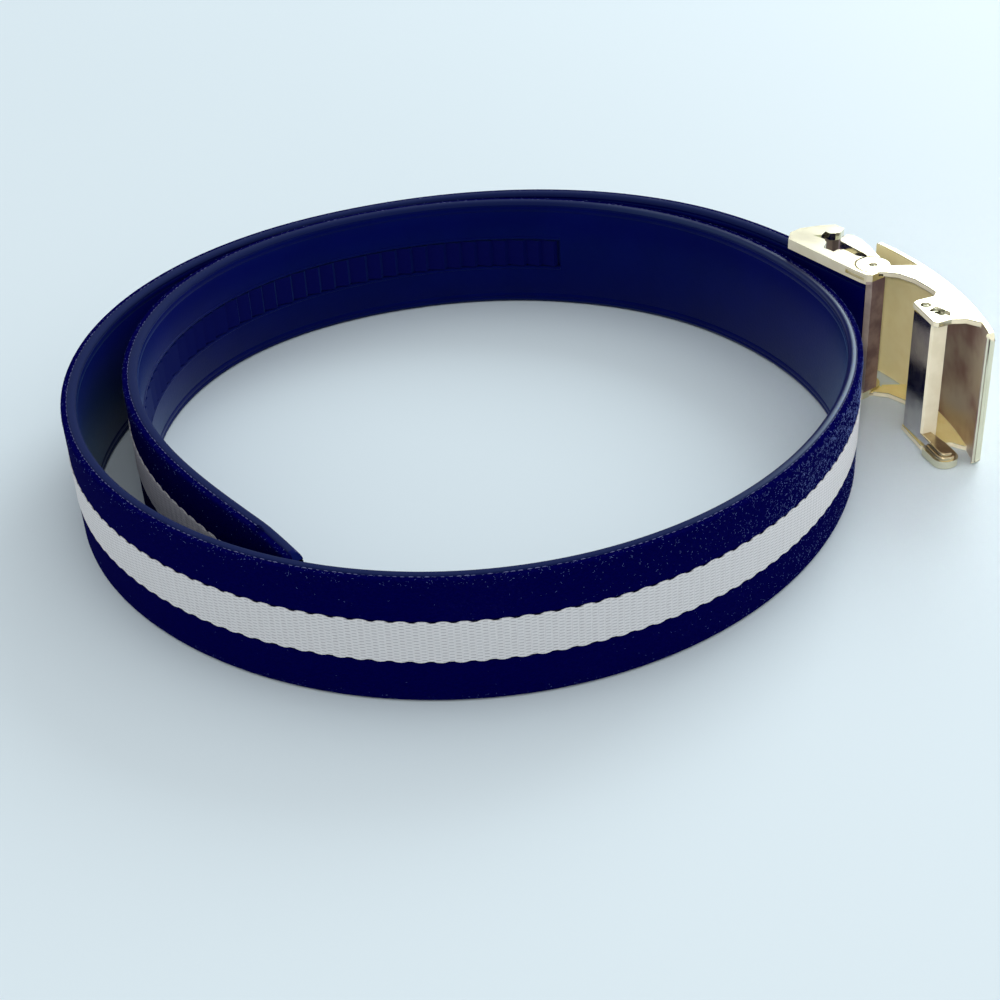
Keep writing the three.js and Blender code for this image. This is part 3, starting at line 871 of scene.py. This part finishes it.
def edge_paint():
    paint = Paint("gloss_edge_paint")
    place = paint.strap_place()
    along, depth, height = paint.split(place)
    waves = paint.noise(paint.scaled(place, (0.35, 1.0, 1.0)), 0.8, 2.0)
    glossy = along.smooth(*GLOSS_FROM) * (1 - along.smooth(*GLOSS_TO))
    paint.shade(
        Base_Color=paint.mix(waves, (0.0004, 0.0006, 0.052, 1), (0.0008, 0.0014, 0.064, 1)),
        Roughness=0.85 - glossy * 0.58 + waves * 0.08,
        Specular_IOR_Level=0.42,
        Specular_Tint=(0.5, 0.85, 1.0, 1.0),
        Normal=paint.bump(waves, 0.05 * MM, 0.4),
    )
    return paint


PAINTED = 1.25  # mm from the strap's edges
PAINTED_END = 0.3  # mm from the tip


def flat_places(piece):
    """Each vertex's place on the flat strap, in mm."""
    return rows_of(piece.data.attributes["strap_place"].data, "vector")


def face_places(piece):
    """The mean place of each face's corners on the flat strap, in mm."""
    places = flat_places(piece)
    return np.array([places[list(face.vertices)].mean(axis=0) for face in piece.data.polygons])


def paint_edges(piece, paint):
    piece.data.materials.append(paint.material)
    along, depth, height = face_places(piece).T
    at_edge = np.minimum(height, WIDTH_MM - height) < PAINTED
    painted = at_edge | (along > STRAP_LENGTH / MM - PAINTED_END)
    piece.data.polygons.foreach_set("material_index", painted.astype(np.int32))
    print("painted faces:", int(painted.sum()))


dress(leather_paint(), leather, *welts)
paint_edges(leather, edge_paint())

# %% [markdown]
# The facing's threads are covered by short nap, which takes the light softly and shows pale flecks
# where fibres stand up. The pattern follows the flat strap, so it is stretched along the threads.

# %% Facing


def facing_paint():
    paint = Paint("napped_navy_weave")
    place = paint.strap_place()
    threads = paint.noise(paint.scaled(place, (1.0, 1.0, 2.6)), 1.1, 3.0, 0.6)
    fibres = paint.noise(paint.scaled(place, (1.2, 1.0, 2.2)), 1.7, 3.0, 0.65)
    patches = paint.noise(place, 0.035, 3.0, 0.5)
    flecks = fibres.smooth(0.58, 0.7) * patches.smooth(0.42, 0.62)
    base = paint.mix(threads.smooth(0.35, 0.7), (0.0002, 0.0, 0.046, 1), (0.0004, 0.0002, 0.062, 1))
    base = paint.mix(flecks * 0.3, base, rgb(40, 40, 104))
    paint.shade(
        Base_Color=base,
        Roughness=1.0,
        Specular_IOR_Level=0.01,
        Normal=paint.bump(threads + fibres, 0.2 * MM, 0.8),
    )
    return paint


weave_paint = facing_paint()
dress(weave_paint, facing)

# %% [markdown]
# Wear has raised a nap on the facing: short curled fibres, thickest along the edges and on the right side
# of the loop. They are crowded there partly as painted light: the pale fibres stand for the nap that the
# window lights on that side. One fibre is a thin three-sided rod with a bend in it. Geometry Nodes
# scatter copies over the facing's faces, with a density for each face and a fixed seed, and make them
# real mesh.

# %% The nap
NAP_FIBRE = (0.16 * MM, 0.026 * MM)  # half length and radius
NAP_BEND = 0.09 * MM
# partly painted light: the fibres crowd from 570 to 680 mm, where the window lights the nap
NAP_WEAR_AND_LIGHT = (  # mm along the strap, and the fibres per mm2 there
    (0, 480, 530, 570, 680, 740, 1040),
    (0.08, 0.08, 0.9, 7.5, 7.5, 0.15, 0.1),
)
NAP_BELOW = 0.25  # of that number on the band below the stripe
NAP_AT_EDGES = 1.1  # more fibres per mm2 along the edges
NAP_REACH = 0.4  # mm behind the outer face
NAP_EDGE_REACH = -0.7  # the flat depth, in mm, up to which the edges carry nap
NAP_CLUMPS = 900.0  # scale of the noise that gathers the fibres into clumps
NAP_TILT = 0.25  # radians, at most
NAP_SIZES = (0.6, 1.5)
NAP_SEED = 5


def nap_fibre():
    deselect_all()
    half, radius = NAP_FIBRE
    bpy.ops.mesh.primitive_cylinder_add(
        vertices=3, radius=radius, depth=2 * half, rotation=(0, math.pi / 2, 0)
    )
    fibre = fixed_primitive("nap_fibre")
    start_edit(fibre)
    cut((half * 0.1, 0, 0), (1, 0, 0))
    move(fibre, lambda v: abs(v.co.x) < half / 2, (0, NAP_BEND * 0.6, NAP_BEND))
    end_edit()
    return fibre


def nap_density(piece):
    """Fibres per square metre on each face."""
    along, depth, height = face_places(piece).T
    beside_stripe = abs(height - MID_HEIGHT / MM) > STRIPE_BED_HALF / MM
    on_face = (depth < OUTER_FACE / MM + NAP_REACH) & beside_stripe
    near_edge = np.minimum(height, WIDTH_MM - height) < (FACING_TRIM + NAP_BORDER) / MM
    at_edge = near_edge & (depth < NAP_EDGE_REACH)
    # the crowding along the strap is partly painted light
    worn_and_lit = np.interp(along, *NAP_WEAR_AND_LIGHT) * np.where(height > MID_HEIGHT / MM, 1, NAP_BELOW)
    return (on_face * worn_and_lit + at_edge * NAP_AT_EDGES) / MM**2


def scatter(piece, fibre, seed):
    """A Geometry Nodes tree that turns the piece into fibres on its faces."""
    group = bpy.data.node_groups.new("nap", "GeometryNodeTree")
    group.interface.new_socket("Geometry", in_out="INPUT", socket_type="NodeSocketGeometry")
    group.interface.new_socket("Geometry", in_out="OUTPUT", socket_type="NodeSocketGeometry")
    nodes = Paint("nap", group)
    surface = nodes.add("NodeGroupInput")
    density = nodes.add("GeometryNodeInputNamedAttribute", {"data_type": "FLOAT"}, {"Name": "nap"})
    points = nodes.add(
        "GeometryNodeDistributePointsOnFaces",
        {"distribute_method": "RANDOM"},
        {"Mesh": surface, "Density": density, "Seed": seed},
        "Points",
    )
    upright = Signal(nodes, points.socket.node.outputs["Rotation"])
    spin = nodes.add(
        "FunctionNodeRandomValue",
        {"data_type": "FLOAT_VECTOR"},
        {0: (-NAP_TILT, -NAP_TILT, 0.0), 1: (NAP_TILT, NAP_TILT, 2 * math.pi), "Seed": seed + 1},
    )
    turned = nodes.add("FunctionNodeEulerToRotation", {}, {0: spin})
    turns = {"Rotation": upright, "Rotate By": turned}
    rotation = nodes.add("FunctionNodeRotateRotation", {"rotation_space": "LOCAL"}, turns)
    sizes = {2: NAP_SIZES[0], 3: NAP_SIZES[1], "Seed": seed + 2}
    size = nodes.add("FunctionNodeRandomValue", {"data_type": "FLOAT"}, sizes, 1)
    shape = nodes.add("GeometryNodeObjectInfo", {}, {"Object": fibre}, "Geometry")
    place = nodes.add("GeometryNodeInputPosition")
    in_clump = nodes.noise(place, NAP_CLUMPS).math("GREATER_THAN", 0.5)
    inputs = {"Points": points, "Selection": in_clump, "Instance": shape, "Rotation": rotation}
    inputs["Scale"] = size
    copies = nodes.add("GeometryNodeInstanceOnPoints", {}, inputs)
    real = nodes.add("GeometryNodeRealizeInstances", {}, {"Geometry": copies})
    output = group.nodes.new("NodeGroupOutput")
    nodes.feed(output.inputs[0], real)
    use_modifier(piece, "NODES", node_group=group)


def in_steady_order(piece):
    """Sorts the mesh, because edits may leave its faces in another order on each run."""
    mesh = piece.data
    places = flat_places(piece)
    order = np.lexsort(places.T)
    rank = np.argsort(order)
    points = [tuple(mesh.vertices[i].co) for i in order]
    faces = []
    for face in mesh.polygons:
        corners = [int(rank[i]) for i in face.vertices]
        first = corners.index(min(corners))
        faces.append(corners[first:] + corners[:first])
    mesh.clear_geometry()
    mesh.from_pydata(points, [], sorted(faces))
    attribute = mesh.attributes.new("strap_place", "FLOAT_VECTOR", "POINT")
    attribute.data.foreach_set("vector", places[order].ravel())


def nap():
    piece = free_copy(facing, "facing_nap")
    in_steady_order(piece)
    attribute = piece.data.attributes.new("nap", "FLOAT", "FACE")
    attribute.data.foreach_set("value", nap_density(piece).astype(np.float32))
    fibre = nap_fibre()
    scatter(piece, fibre, NAP_SEED)
    bpy.data.objects.remove(fibre)
    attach(piece, "belt")
    report(piece)
    return piece


def nap_paint():
    paint = Paint("raised_nap")
    tone = paint.noise(paint.object_place(), 900.0, 2.0)
    paint.shade(
        Base_Color=paint.mix(tone.smooth(0.35, 0.65), rgb(40, 52, 120), rgb(104, 122, 180)),
        Roughness=1.0,
        Specular_IOR_Level=0.05,
    )
    return paint


dress(nap_paint(), nap())

# %% [markdown]
# A close row of small stitches joins the facing to the leather along the upper edge. One stitch is a
# stretched ball whose ends dip into the seam. An Array repeats it, and the Curve modifier bends the
# row.

# %% The edge seam
STITCH_PITCH = 1.75 * MM
STITCH_HALF = 0.68 * MM
STITCH_RADIUS = 0.11 * MM
STITCH_JITTER = (0.25 * MM, 0.05 * MM, 0.09 * MM)
STITCH_SEED = 8
STITCH_END = 18 * MM  # the row starts behind the clamp
STITCH_BELOW_EDGE = 0.32 * MM
STITCH_DIP = 0.9  # a stitch's ends dip by this much of its radius


def edge_seam():
    deselect_all()
    bpy.ops.mesh.primitive_uv_sphere_add(
        segments=8, ring_count=6, radius=STITCH_RADIUS, rotation=(0, math.pi / 2, 0)
    )
    piece = fixed_primitive("edge_seam")
    start_edit(piece)
    bpy.ops.mesh.select_all(action="SELECT")
    bpy.ops.transform.resize(value=(STITCH_HALF / STITCH_RADIUS, 1, 1))
    move(piece, lambda v: abs(v.co.x) > STITCH_HALF * 0.7, (0, 0, -STITCH_RADIUS * STITCH_DIP))
    bpy.ops.mesh.select_all(action="SELECT")
    place = (STITCH_END + STITCH_PITCH, LEATHER_BACK, STRAP_WIDTH - STITCH_BELOW_EDGE)
    bpy.ops.transform.translate(value=place)
    end_edit()
    count = int((STRAP_LENGTH - TAPER - place[0]) / STITCH_PITCH)
    repeat(piece, count, STITCH_PITCH)
    draw = np.random.default_rng(STITCH_SEED)
    shifts = draw.uniform(-1, 1, (count, 3)) * STITCH_JITTER
    for i, vertex in enumerate(piece.data.vertices):
        vertex.co += Vector(shifts[i * count // len(piece.data.vertices)])
    bend_along_route(piece)
    smooth(piece, 60)
    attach(piece, "belt")
    report(piece)
    return piece


def thread_paint():
    paint = Paint("seam_thread")
    tone = paint.noise(paint.scaled(paint.strap_place(), (3.0, 1.0, 1.0)), 2.0, 2.0)
    paint.shade(
        Base_Color=paint.mix(tone, rgb(34, 38, 98), rgb(130, 136, 180)),
        Roughness=0.9,
        Specular_IOR_Level=0.1,
    )
    return paint


dress(thread_paint(), edge_seam())

# %% [markdown]
# Where the tip's taper starts, a few cut threads of the weave stand out of the upper edge. Each is a
# copy of a larger fibre, turned and sized by a seeded draw, and the copies are joined before they are
# bent.

# %% The loose threads
THREADS = 9
THREAD_SEED = 3
THREADS_AT = (STRAP_LENGTH - 13.6 * MM, -0.9 * MM, STRAP_WIDTH - 0.1 * MM)
THREAD_SPREAD = (0.9 * MM, 0.7 * MM, 0.35 * MM)
THREAD_LENGTHS = (4, 8)  # in fibres
THREAD_WIDTH = 3.2  # in fibres
THREAD_RISES = (-50, 10)  # degrees
THREAD_TURNS = (-40, 40)  # degrees


def loose_threads():
    draw = np.random.default_rng(THREAD_SEED)
    threads = []
    for i in range(THREADS):
        thread = nap_fibre()
        thread.scale = (float(draw.uniform(*THREAD_LENGTHS)), THREAD_WIDTH, THREAD_WIDTH)
        rise = math.radians(draw.uniform(*THREAD_RISES))
        turn = math.radians(draw.uniform(*THREAD_TURNS))
        thread.rotation_euler = (0, rise, turn)
        spot = zip(THREADS_AT, THREAD_SPREAD)
        thread.location = [at + float(draw.uniform(-1, 1)) * spread for at, spread in spot]
        threads.append(thread)
    join(threads)
    piece = fixed_primitive("tip_threads")
    bend_along_route(piece)
    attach(piece, "belt")
    report(piece)
    return piece


dress(weave_paint, loose_threads())

# %% [markdown]
# The white stripe's floats are real relief. The material darkens the short gaps between them and lets the
# threads' tone vary a little. It also colours the stripe's side faces navy below its face: painted shade
# in the narrow gaps beside the scallops.

# %% Stripe


def stripe_paint():
    paint = Paint("white_twill")
    place = paint.strap_place()
    along, depth, height = paint.split(place)
    column = STRIPE_SLICE / COLUMNS / MM
    row = ROW / MM
    odd = ((along / column) % 2).smooth(0.999, 1.001)
    rows = (height - MID_HEIGHT / MM + ROWS * row / 2) / row + odd * 0.5
    across = rows % 1
    gap = 1 - across.math("MINIMUM", 1 - across).smooth(0.10, 0.2)
    end = (along / column) % 1
    inside = end.math("MINIMUM", 1 - end).smooth(0.08, 0.2)
    dashes = gap * inside
    tone = paint.noise(paint.scaled(place, (0.8, 1.0, 3.0)), 1.3, 3.0)
    base = paint.mix(tone, rgb(207, 206, 208), rgb(226, 225, 227))
    base = paint.mix(dashes * 0.55, base, rgb(142, 140, 148))
    # painted shade: the stripe's side faces, below its face, are navy so that the narrow gaps beside the
    # scallops read as shaded
    side = depth.smooth(STRIPE_FACE / MM + 0.2, STRIPE_FACE / MM + 0.3)
    base = paint.mix(side, base, (0.0003, 0.0, 0.05, 1))
    paint.shade(
        Base_Color=base,
        Roughness=0.8,
        Specular_IOR_Level=0.25,
        Normal=paint.bump(tone, 0.08 * MM, 0.6),
    )
    return paint


dress(stripe_paint(), stripe)

# %% [markdown]
# The track is moulded black plastic, in the leather's colour. Its teeth are in the model already, so
# the node stays and only gets a finish: fine texture, soft gloss and a little blue sheen.

# %% Track


def track_paint():
    paint = Paint("black_plastic")
    place = paint.object_place()
    fine = paint.noise(place, 2500.0, 2.0)
    paint.shade(
        Base_Color=paint.mix(fine, *NAVY),
        Roughness=0.35 + fine * 0.15,
        Specular_IOR_Level=0.03,
        Sheen_Weight=0.08,
        Sheen_Tint=SHEEN_BLUE,
        Normal=paint.bump(fine, 0.02 * MM, 0.4),
    )
    return paint


dress(track_paint(), frame["nodes"]["ratchet_track"])

# %% [markdown]
# The buckle has a thin pale-gold plating. It is nearly a mirror, so what it shows is the room around it.
# Soft polishing marks and faint handling haze keep it from looking like a perfect mirror. The satin
# finishes and the painted light, shade and reflections are the same metal with other colours, rougher,
# and less like a mirror.

# %% Gold and steel
METALS = {  # light and dark colour, roughness, and where they aren't as usual, metal share and patches
    "pale_gold_plating": ((0.86, 0.81, 0.62, 1), (0.82, 0.77, 0.57, 1), 0.12),
    # painted light: the plate's hinge half is a pale satin, hardly metallic, so that it shows as brightly
    # lit
    "satin_gold_plating": ((1.0, 0.87, 0.5, 1), (0.96, 0.82, 0.45, 1), 0.5, 0.05),
    # satin whose pale beige is a painted reflection, for the wall edges, the clamp's skirt and the bar's
    # end
    "satin_beige_plating": ((0.94, 0.86, 0.66, 1), (0.86, 0.78, 0.58, 1), 0.45, 0.1),
    # painted reflection: dark brown for the plate's free half, standing for the dark strap and bar it
    # reflects
    "rubbed_gold_plating": ((0.62, 0.53, 0.46, 1), (0.36, 0.2, 0.19, 1), 0.34, 0.85, 60.0),
    # painted shade and reflection: a darker bronze for the thumb pad, which lies under the buckle
    "bronzed_gold_plating": ((0.64, 0.54, 0.34, 1), (0.46, 0.36, 0.22, 1), 0.16),
    # painted reflection: dark brown for the crossbar's front, standing for the dark strap it faces
    "browned_gold_plating": ((0.33, 0.24, 0.24, 1), (0.19, 0.12, 0.14, 1), 0.34, 0.5),
    "yellow_gold_plating": ((1.0, 0.85, 0.38, 1), (0.96, 0.79, 0.32, 1), 0.4, 0.05),
    # painted reflection: a little blue for the bar's inner face, standing for the navy strap it faces
    "blued_gold_plating": ((0.7, 0.67, 0.66, 1), (0.6, 0.56, 0.6, 1), 0.12),
    # painted shade: a darker rosy brown for the faces inside the clamp's slot
    "rosy_gold_plating": ((0.66, 0.54, 0.48, 1), (0.52, 0.4, 0.36, 1), 0.4, 0.3),
    "olive_steel": ((0.36, 0.35, 0.25, 1), (0.24, 0.23, 0.15, 1), 0.2),
}


def metal_paint(name, light, dark, roughness, metallic=1.0, patches=180.0):
    """patches is the scale of the noise that mixes the two colours."""
    paint = Paint(name)
    place = paint.object_place()
    haze = paint.noise(place, patches, 3.0).smooth(0.35, 0.65)
    marks = paint.noise(paint.scaled(place, (400.0, 400.0, 3000.0)), 1.0, 2.0)
    paint.shade(
        Base_Color=paint.mix(haze, light, dark),
        Metallic=metallic,
        Roughness=roughness + haze * 0.08 + marks * 0.05,
        Normal=paint.bump(marks, 0.002 * MM, 0.5),
    )
    return paint


metal_paints = {name: metal_paint(name, *settings) for name, settings in METALS.items()}
dress(metal_paints["pale_gold_plating"], *metal.values())
dress(metal_paints["olive_steel"], *pins, *clips)

# %% [markdown]
# Only the outer faces and the tops are polished. The other faces get other colours of the same plating,
# and most of them are painted light: they stand for how those faces are lit and shaded and for what they
# reflect. The face plate's inner side is a pale satin on its hinge half, made hardly metallic so that it
# shows as brightly lit, and dark brown on its free half, a painted reflection of the dark strap and bar.
# Its lower wall is a yellower satin. The clamp's skirt and the toothed bar's end are a paler satin whose
# beige is a painted reflection. The crossbar is a darker rosy brown at its sides, painted shade inside
# the clamp's slot, and dark brown in front, a painted reflection of the strap. The bar's inner face is a
# little blue, a painted reflection of the navy strap, and the thumb pad is a darker bronze, painted shade
# and reflection where it lies under the buckle. The faces are chosen by the way they look and by their
# place.

# %% Satin faces, painted light and painted reflections
FRAME_HEADING = math.radians(16.8)
OUTWARDS = Vector((math.cos(FRAME_HEADING), math.sin(FRAME_HEADING), 0))
TO_FREE_END = Vector((OUTWARDS.y, -OUTWARDS.x, 0))
CLAMP_ALONG = Vector((math.cos(CLAMP_HEADING), math.sin(CLAMP_HEADING), 0))
CLAMP_OUT = Vector((-CLAMP_ALONG.y, CLAMP_ALONG.x, 0))
HINGE_LINE = Vector((hinge_place.x, hinge_place.y, 0))
WALL = 1.7 * MM
CHEEK = 2.3 * MM
PLATE_MIDDLE = 14 * MM  # the satin half lies further back than this, in the part's Y
THUMB_LEVER = 37.5 * MM  # from the hinge pin to the thumb lever
RIM_TOP = 2.5 * MM
UPRIGHT = 0.3  # the most that an upright face's normal rises
MOSTLY = 0.7  # how much a face looks along a direction
HALF_WAY = 0.6
SLIGHTLY = 0.15
SKIRT = -4 * MM  # the clamp's skirt lies further inwards than this, from the hinge pin
frame_low, frame_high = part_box("buckle_frame")


def upright(face):
    return abs(face.normal.z) < UPRIGHT


def looks(face, direction, least):
    """True where the face looks along the direction by at least this much."""
    return face.normal.dot(direction) > least


def between_walls(face, wall):
    return frame_low.z + wall < middle_of(face).z < frame_high.z - wall


def from_hinge(face, direction):
    return (middle_of(face) - HINGE_LINE).dot(direction)


def is_plate(face):
    return looks(face, -OUTWARDS, MOSTLY) and between_walls(face, WALL)


def is_wall_edge(face):
    return upright(face) and looks(face, -OUTWARDS, SLIGHTLY) and not between_walls(face, WALL)


def is_clamp_side(face):
    return upright(face) and looks(face, -CLAMP_OUT, SLIGHTLY)


def is_skirt(face):
    return is_clamp_side(face) and from_hinge(face, CLAMP_OUT) < SKIRT


def is_bar_front(face):
    return looks(face, CLAMP_ALONG, ALIGNED) and between_walls(face, CHEEK)


def is_bar_inner(face):
    return upright(face) and looks(face, -OUTWARDS, HALF_WAY) and middle_of(face).z > PAD_TOP


def is_bar_end(face):
    return looks(face, TO_FREE_END, MOSTLY) and middle_of(face).z > PAD_TOP


def is_pad(face):
    return middle_of(face).z > RIM_TOP and from_hinge(face, TO_FREE_END) > THUMB_LEVER


PLATING_COLOURS = (
    ("buckle_frame", "satin_gold_plating", lambda f: is_plate(f) and middle_of(f).y > PLATE_MIDDLE),
    ("buckle_frame", "rubbed_gold_plating", lambda f: is_plate(f) and middle_of(f).y < PLATE_MIDDLE),
    ("buckle_frame", "satin_beige_plating", is_wall_edge),
    ("buckle_frame", "yellow_gold_plating", lambda f: f.normal.z > ALIGNED and middle_of(f).z < WALL),
    ("clamp_body", "satin_beige_plating", is_skirt),
    ("clamp_body", "rosy_gold_plating", lambda f: is_clamp_side(f) and between_walls(f, CHEEK)),
    ("clamp_body", "browned_gold_plating", is_bar_front),
    ("pawl_lever", "blued_gold_plating", is_bar_inner),
    ("pawl_lever", "satin_beige_plating", is_bar_end),
    ("pawl_lever", "bronzed_gold_plating", is_pad),
)


def give_plating_colour(node, finish, test):
    """Gives the faces that pass the test another colour of the plating."""
    piece = metal[node]
    piece.data.materials.append(metal_paints[finish].material)
    piece.active_material_index = len(piece.data.materials) - 1
    start_edit(piece)
    found = choose(piece, "FACE", test)
    bpy.ops.object.material_slot_assign()
    end_edit()
    print(piece.name, "has", found, "faces of", finish)


for settings in PLATING_COLOURS:
    give_plating_colour(*settings)

# %% [markdown]
# The studio is a pale floor under a wide soft sky. The sky is bright overhead, on the camera's side and
# at the left and right, and dark low behind the belt, so the polished metal shows bright and dark
# bands. A large soft window stands at the back right, and a narrow soft fill lights the buckle.

# %% Studio
EYE = (-7.887 * MM, -412.389 * MM, 262.9 * MM)
EYE_TILT = math.radians(56.13)
EYE_ROLL = math.radians(-3.19)
LENS = 63.0
FLOOR_SIDE = 8  # metres
LIGHTS = (  # name, place, target, size, power, colour and the spread of the rays in degrees
    ("window", (0.73, 1.12, 0.87), (0, 0, 0), (0.8, 0.7), 9.0, (0.9, 0.99, 1.0), 180),
    ("fill", (-0.12, -0.8, 0.5), (0.118, 0.0, 0.015), (0.05, 0.05), 0.0055, (1.0, 0.97, 0.92), 6),
)


def floor():
    deselect_all()
    bpy.ops.mesh.primitive_plane_add(size=FLOOR_SIDE, location=(0, 0, 0))
    plane = bpy.context.object
    plane.name = "floor"
    paint = Paint("pale_floor")
    place = paint.object_place()
    soft = paint.noise(place, 1.2, 2.0)
    paint.shade(
        Base_Color=paint.mix(soft, rgb(211, 223, 231), rgb(221, 232, 239)),
        Roughness=0.55,
        Specular_IOR_Level=0.3,
    )
    dress(paint, plane)


def sky():
    world = bpy.data.worlds.new("studio_sky")
    world.use_nodes = True
    bpy.context.scene.world = world
    paint = Paint("studio_sky", world.node_tree)
    direction = paint.add("ShaderNodeTexCoord", {}, {}, "Generated")
    x, y, z = paint.split(direction)
    overhead = z.smooth(0.55, 0.85)
    camera_side = (0 - y).smooth(-0.1, 0.5)
    right_side = (x * 0.8 + y * 0.2 + z * 0.57).smooth(0.46, 0.6) * 1.35
    left_side = (0 - x).smooth(0.25, 0.7)
    sides = right_side.math("MAXIMUM", left_side).math("MAXIMUM", camera_side * 0.9)
    bright = overhead.math("MAXIMUM", sides)
    background = world.node_tree.nodes["Background"]
    background.inputs["Color"].default_value = (0.97, 1.0, 1.0, 1.0)
    paint.feed(background.inputs["Strength"], bright * 0.79 + 0.06)


def soft_light(name, place, target, size, power, colour, spread):
    light = bpy.data.lights.new(name, "AREA")
    light.shape = "RECTANGLE"
    light.size, light.size_y = size
    light.energy = power
    light.color = colour
    light.spread = math.radians(spread)
    lamp = add_object(name, light)
    lamp.location = place
    lamp.rotation_euler = (Vector(target) - Vector(place)).to_track_quat("-Z", "Y").to_euler()


def camera():
    data = bpy.data.cameras.new("camera")
    data.sensor_width = 36
    data.lens = LENS
    eye = add_object("camera", data)
    eye.location = EYE
    turn = Matrix.Rotation(EYE_TILT, 4, "X") @ Matrix.Rotation(EYE_ROLL, 4, "Z")
    eye.rotation_euler = turn.to_euler()
    bpy.context.scene.camera = eye


floor()
sky()
for settings in LIGHTS:
    soft_light(*settings)
camera()
bpy.context.scene.view_settings.view_transform = "Standard"

# %% [markdown]
# The route was only a guide, so it is taken away.

# %% Finish
bpy.data.objects.remove(route)
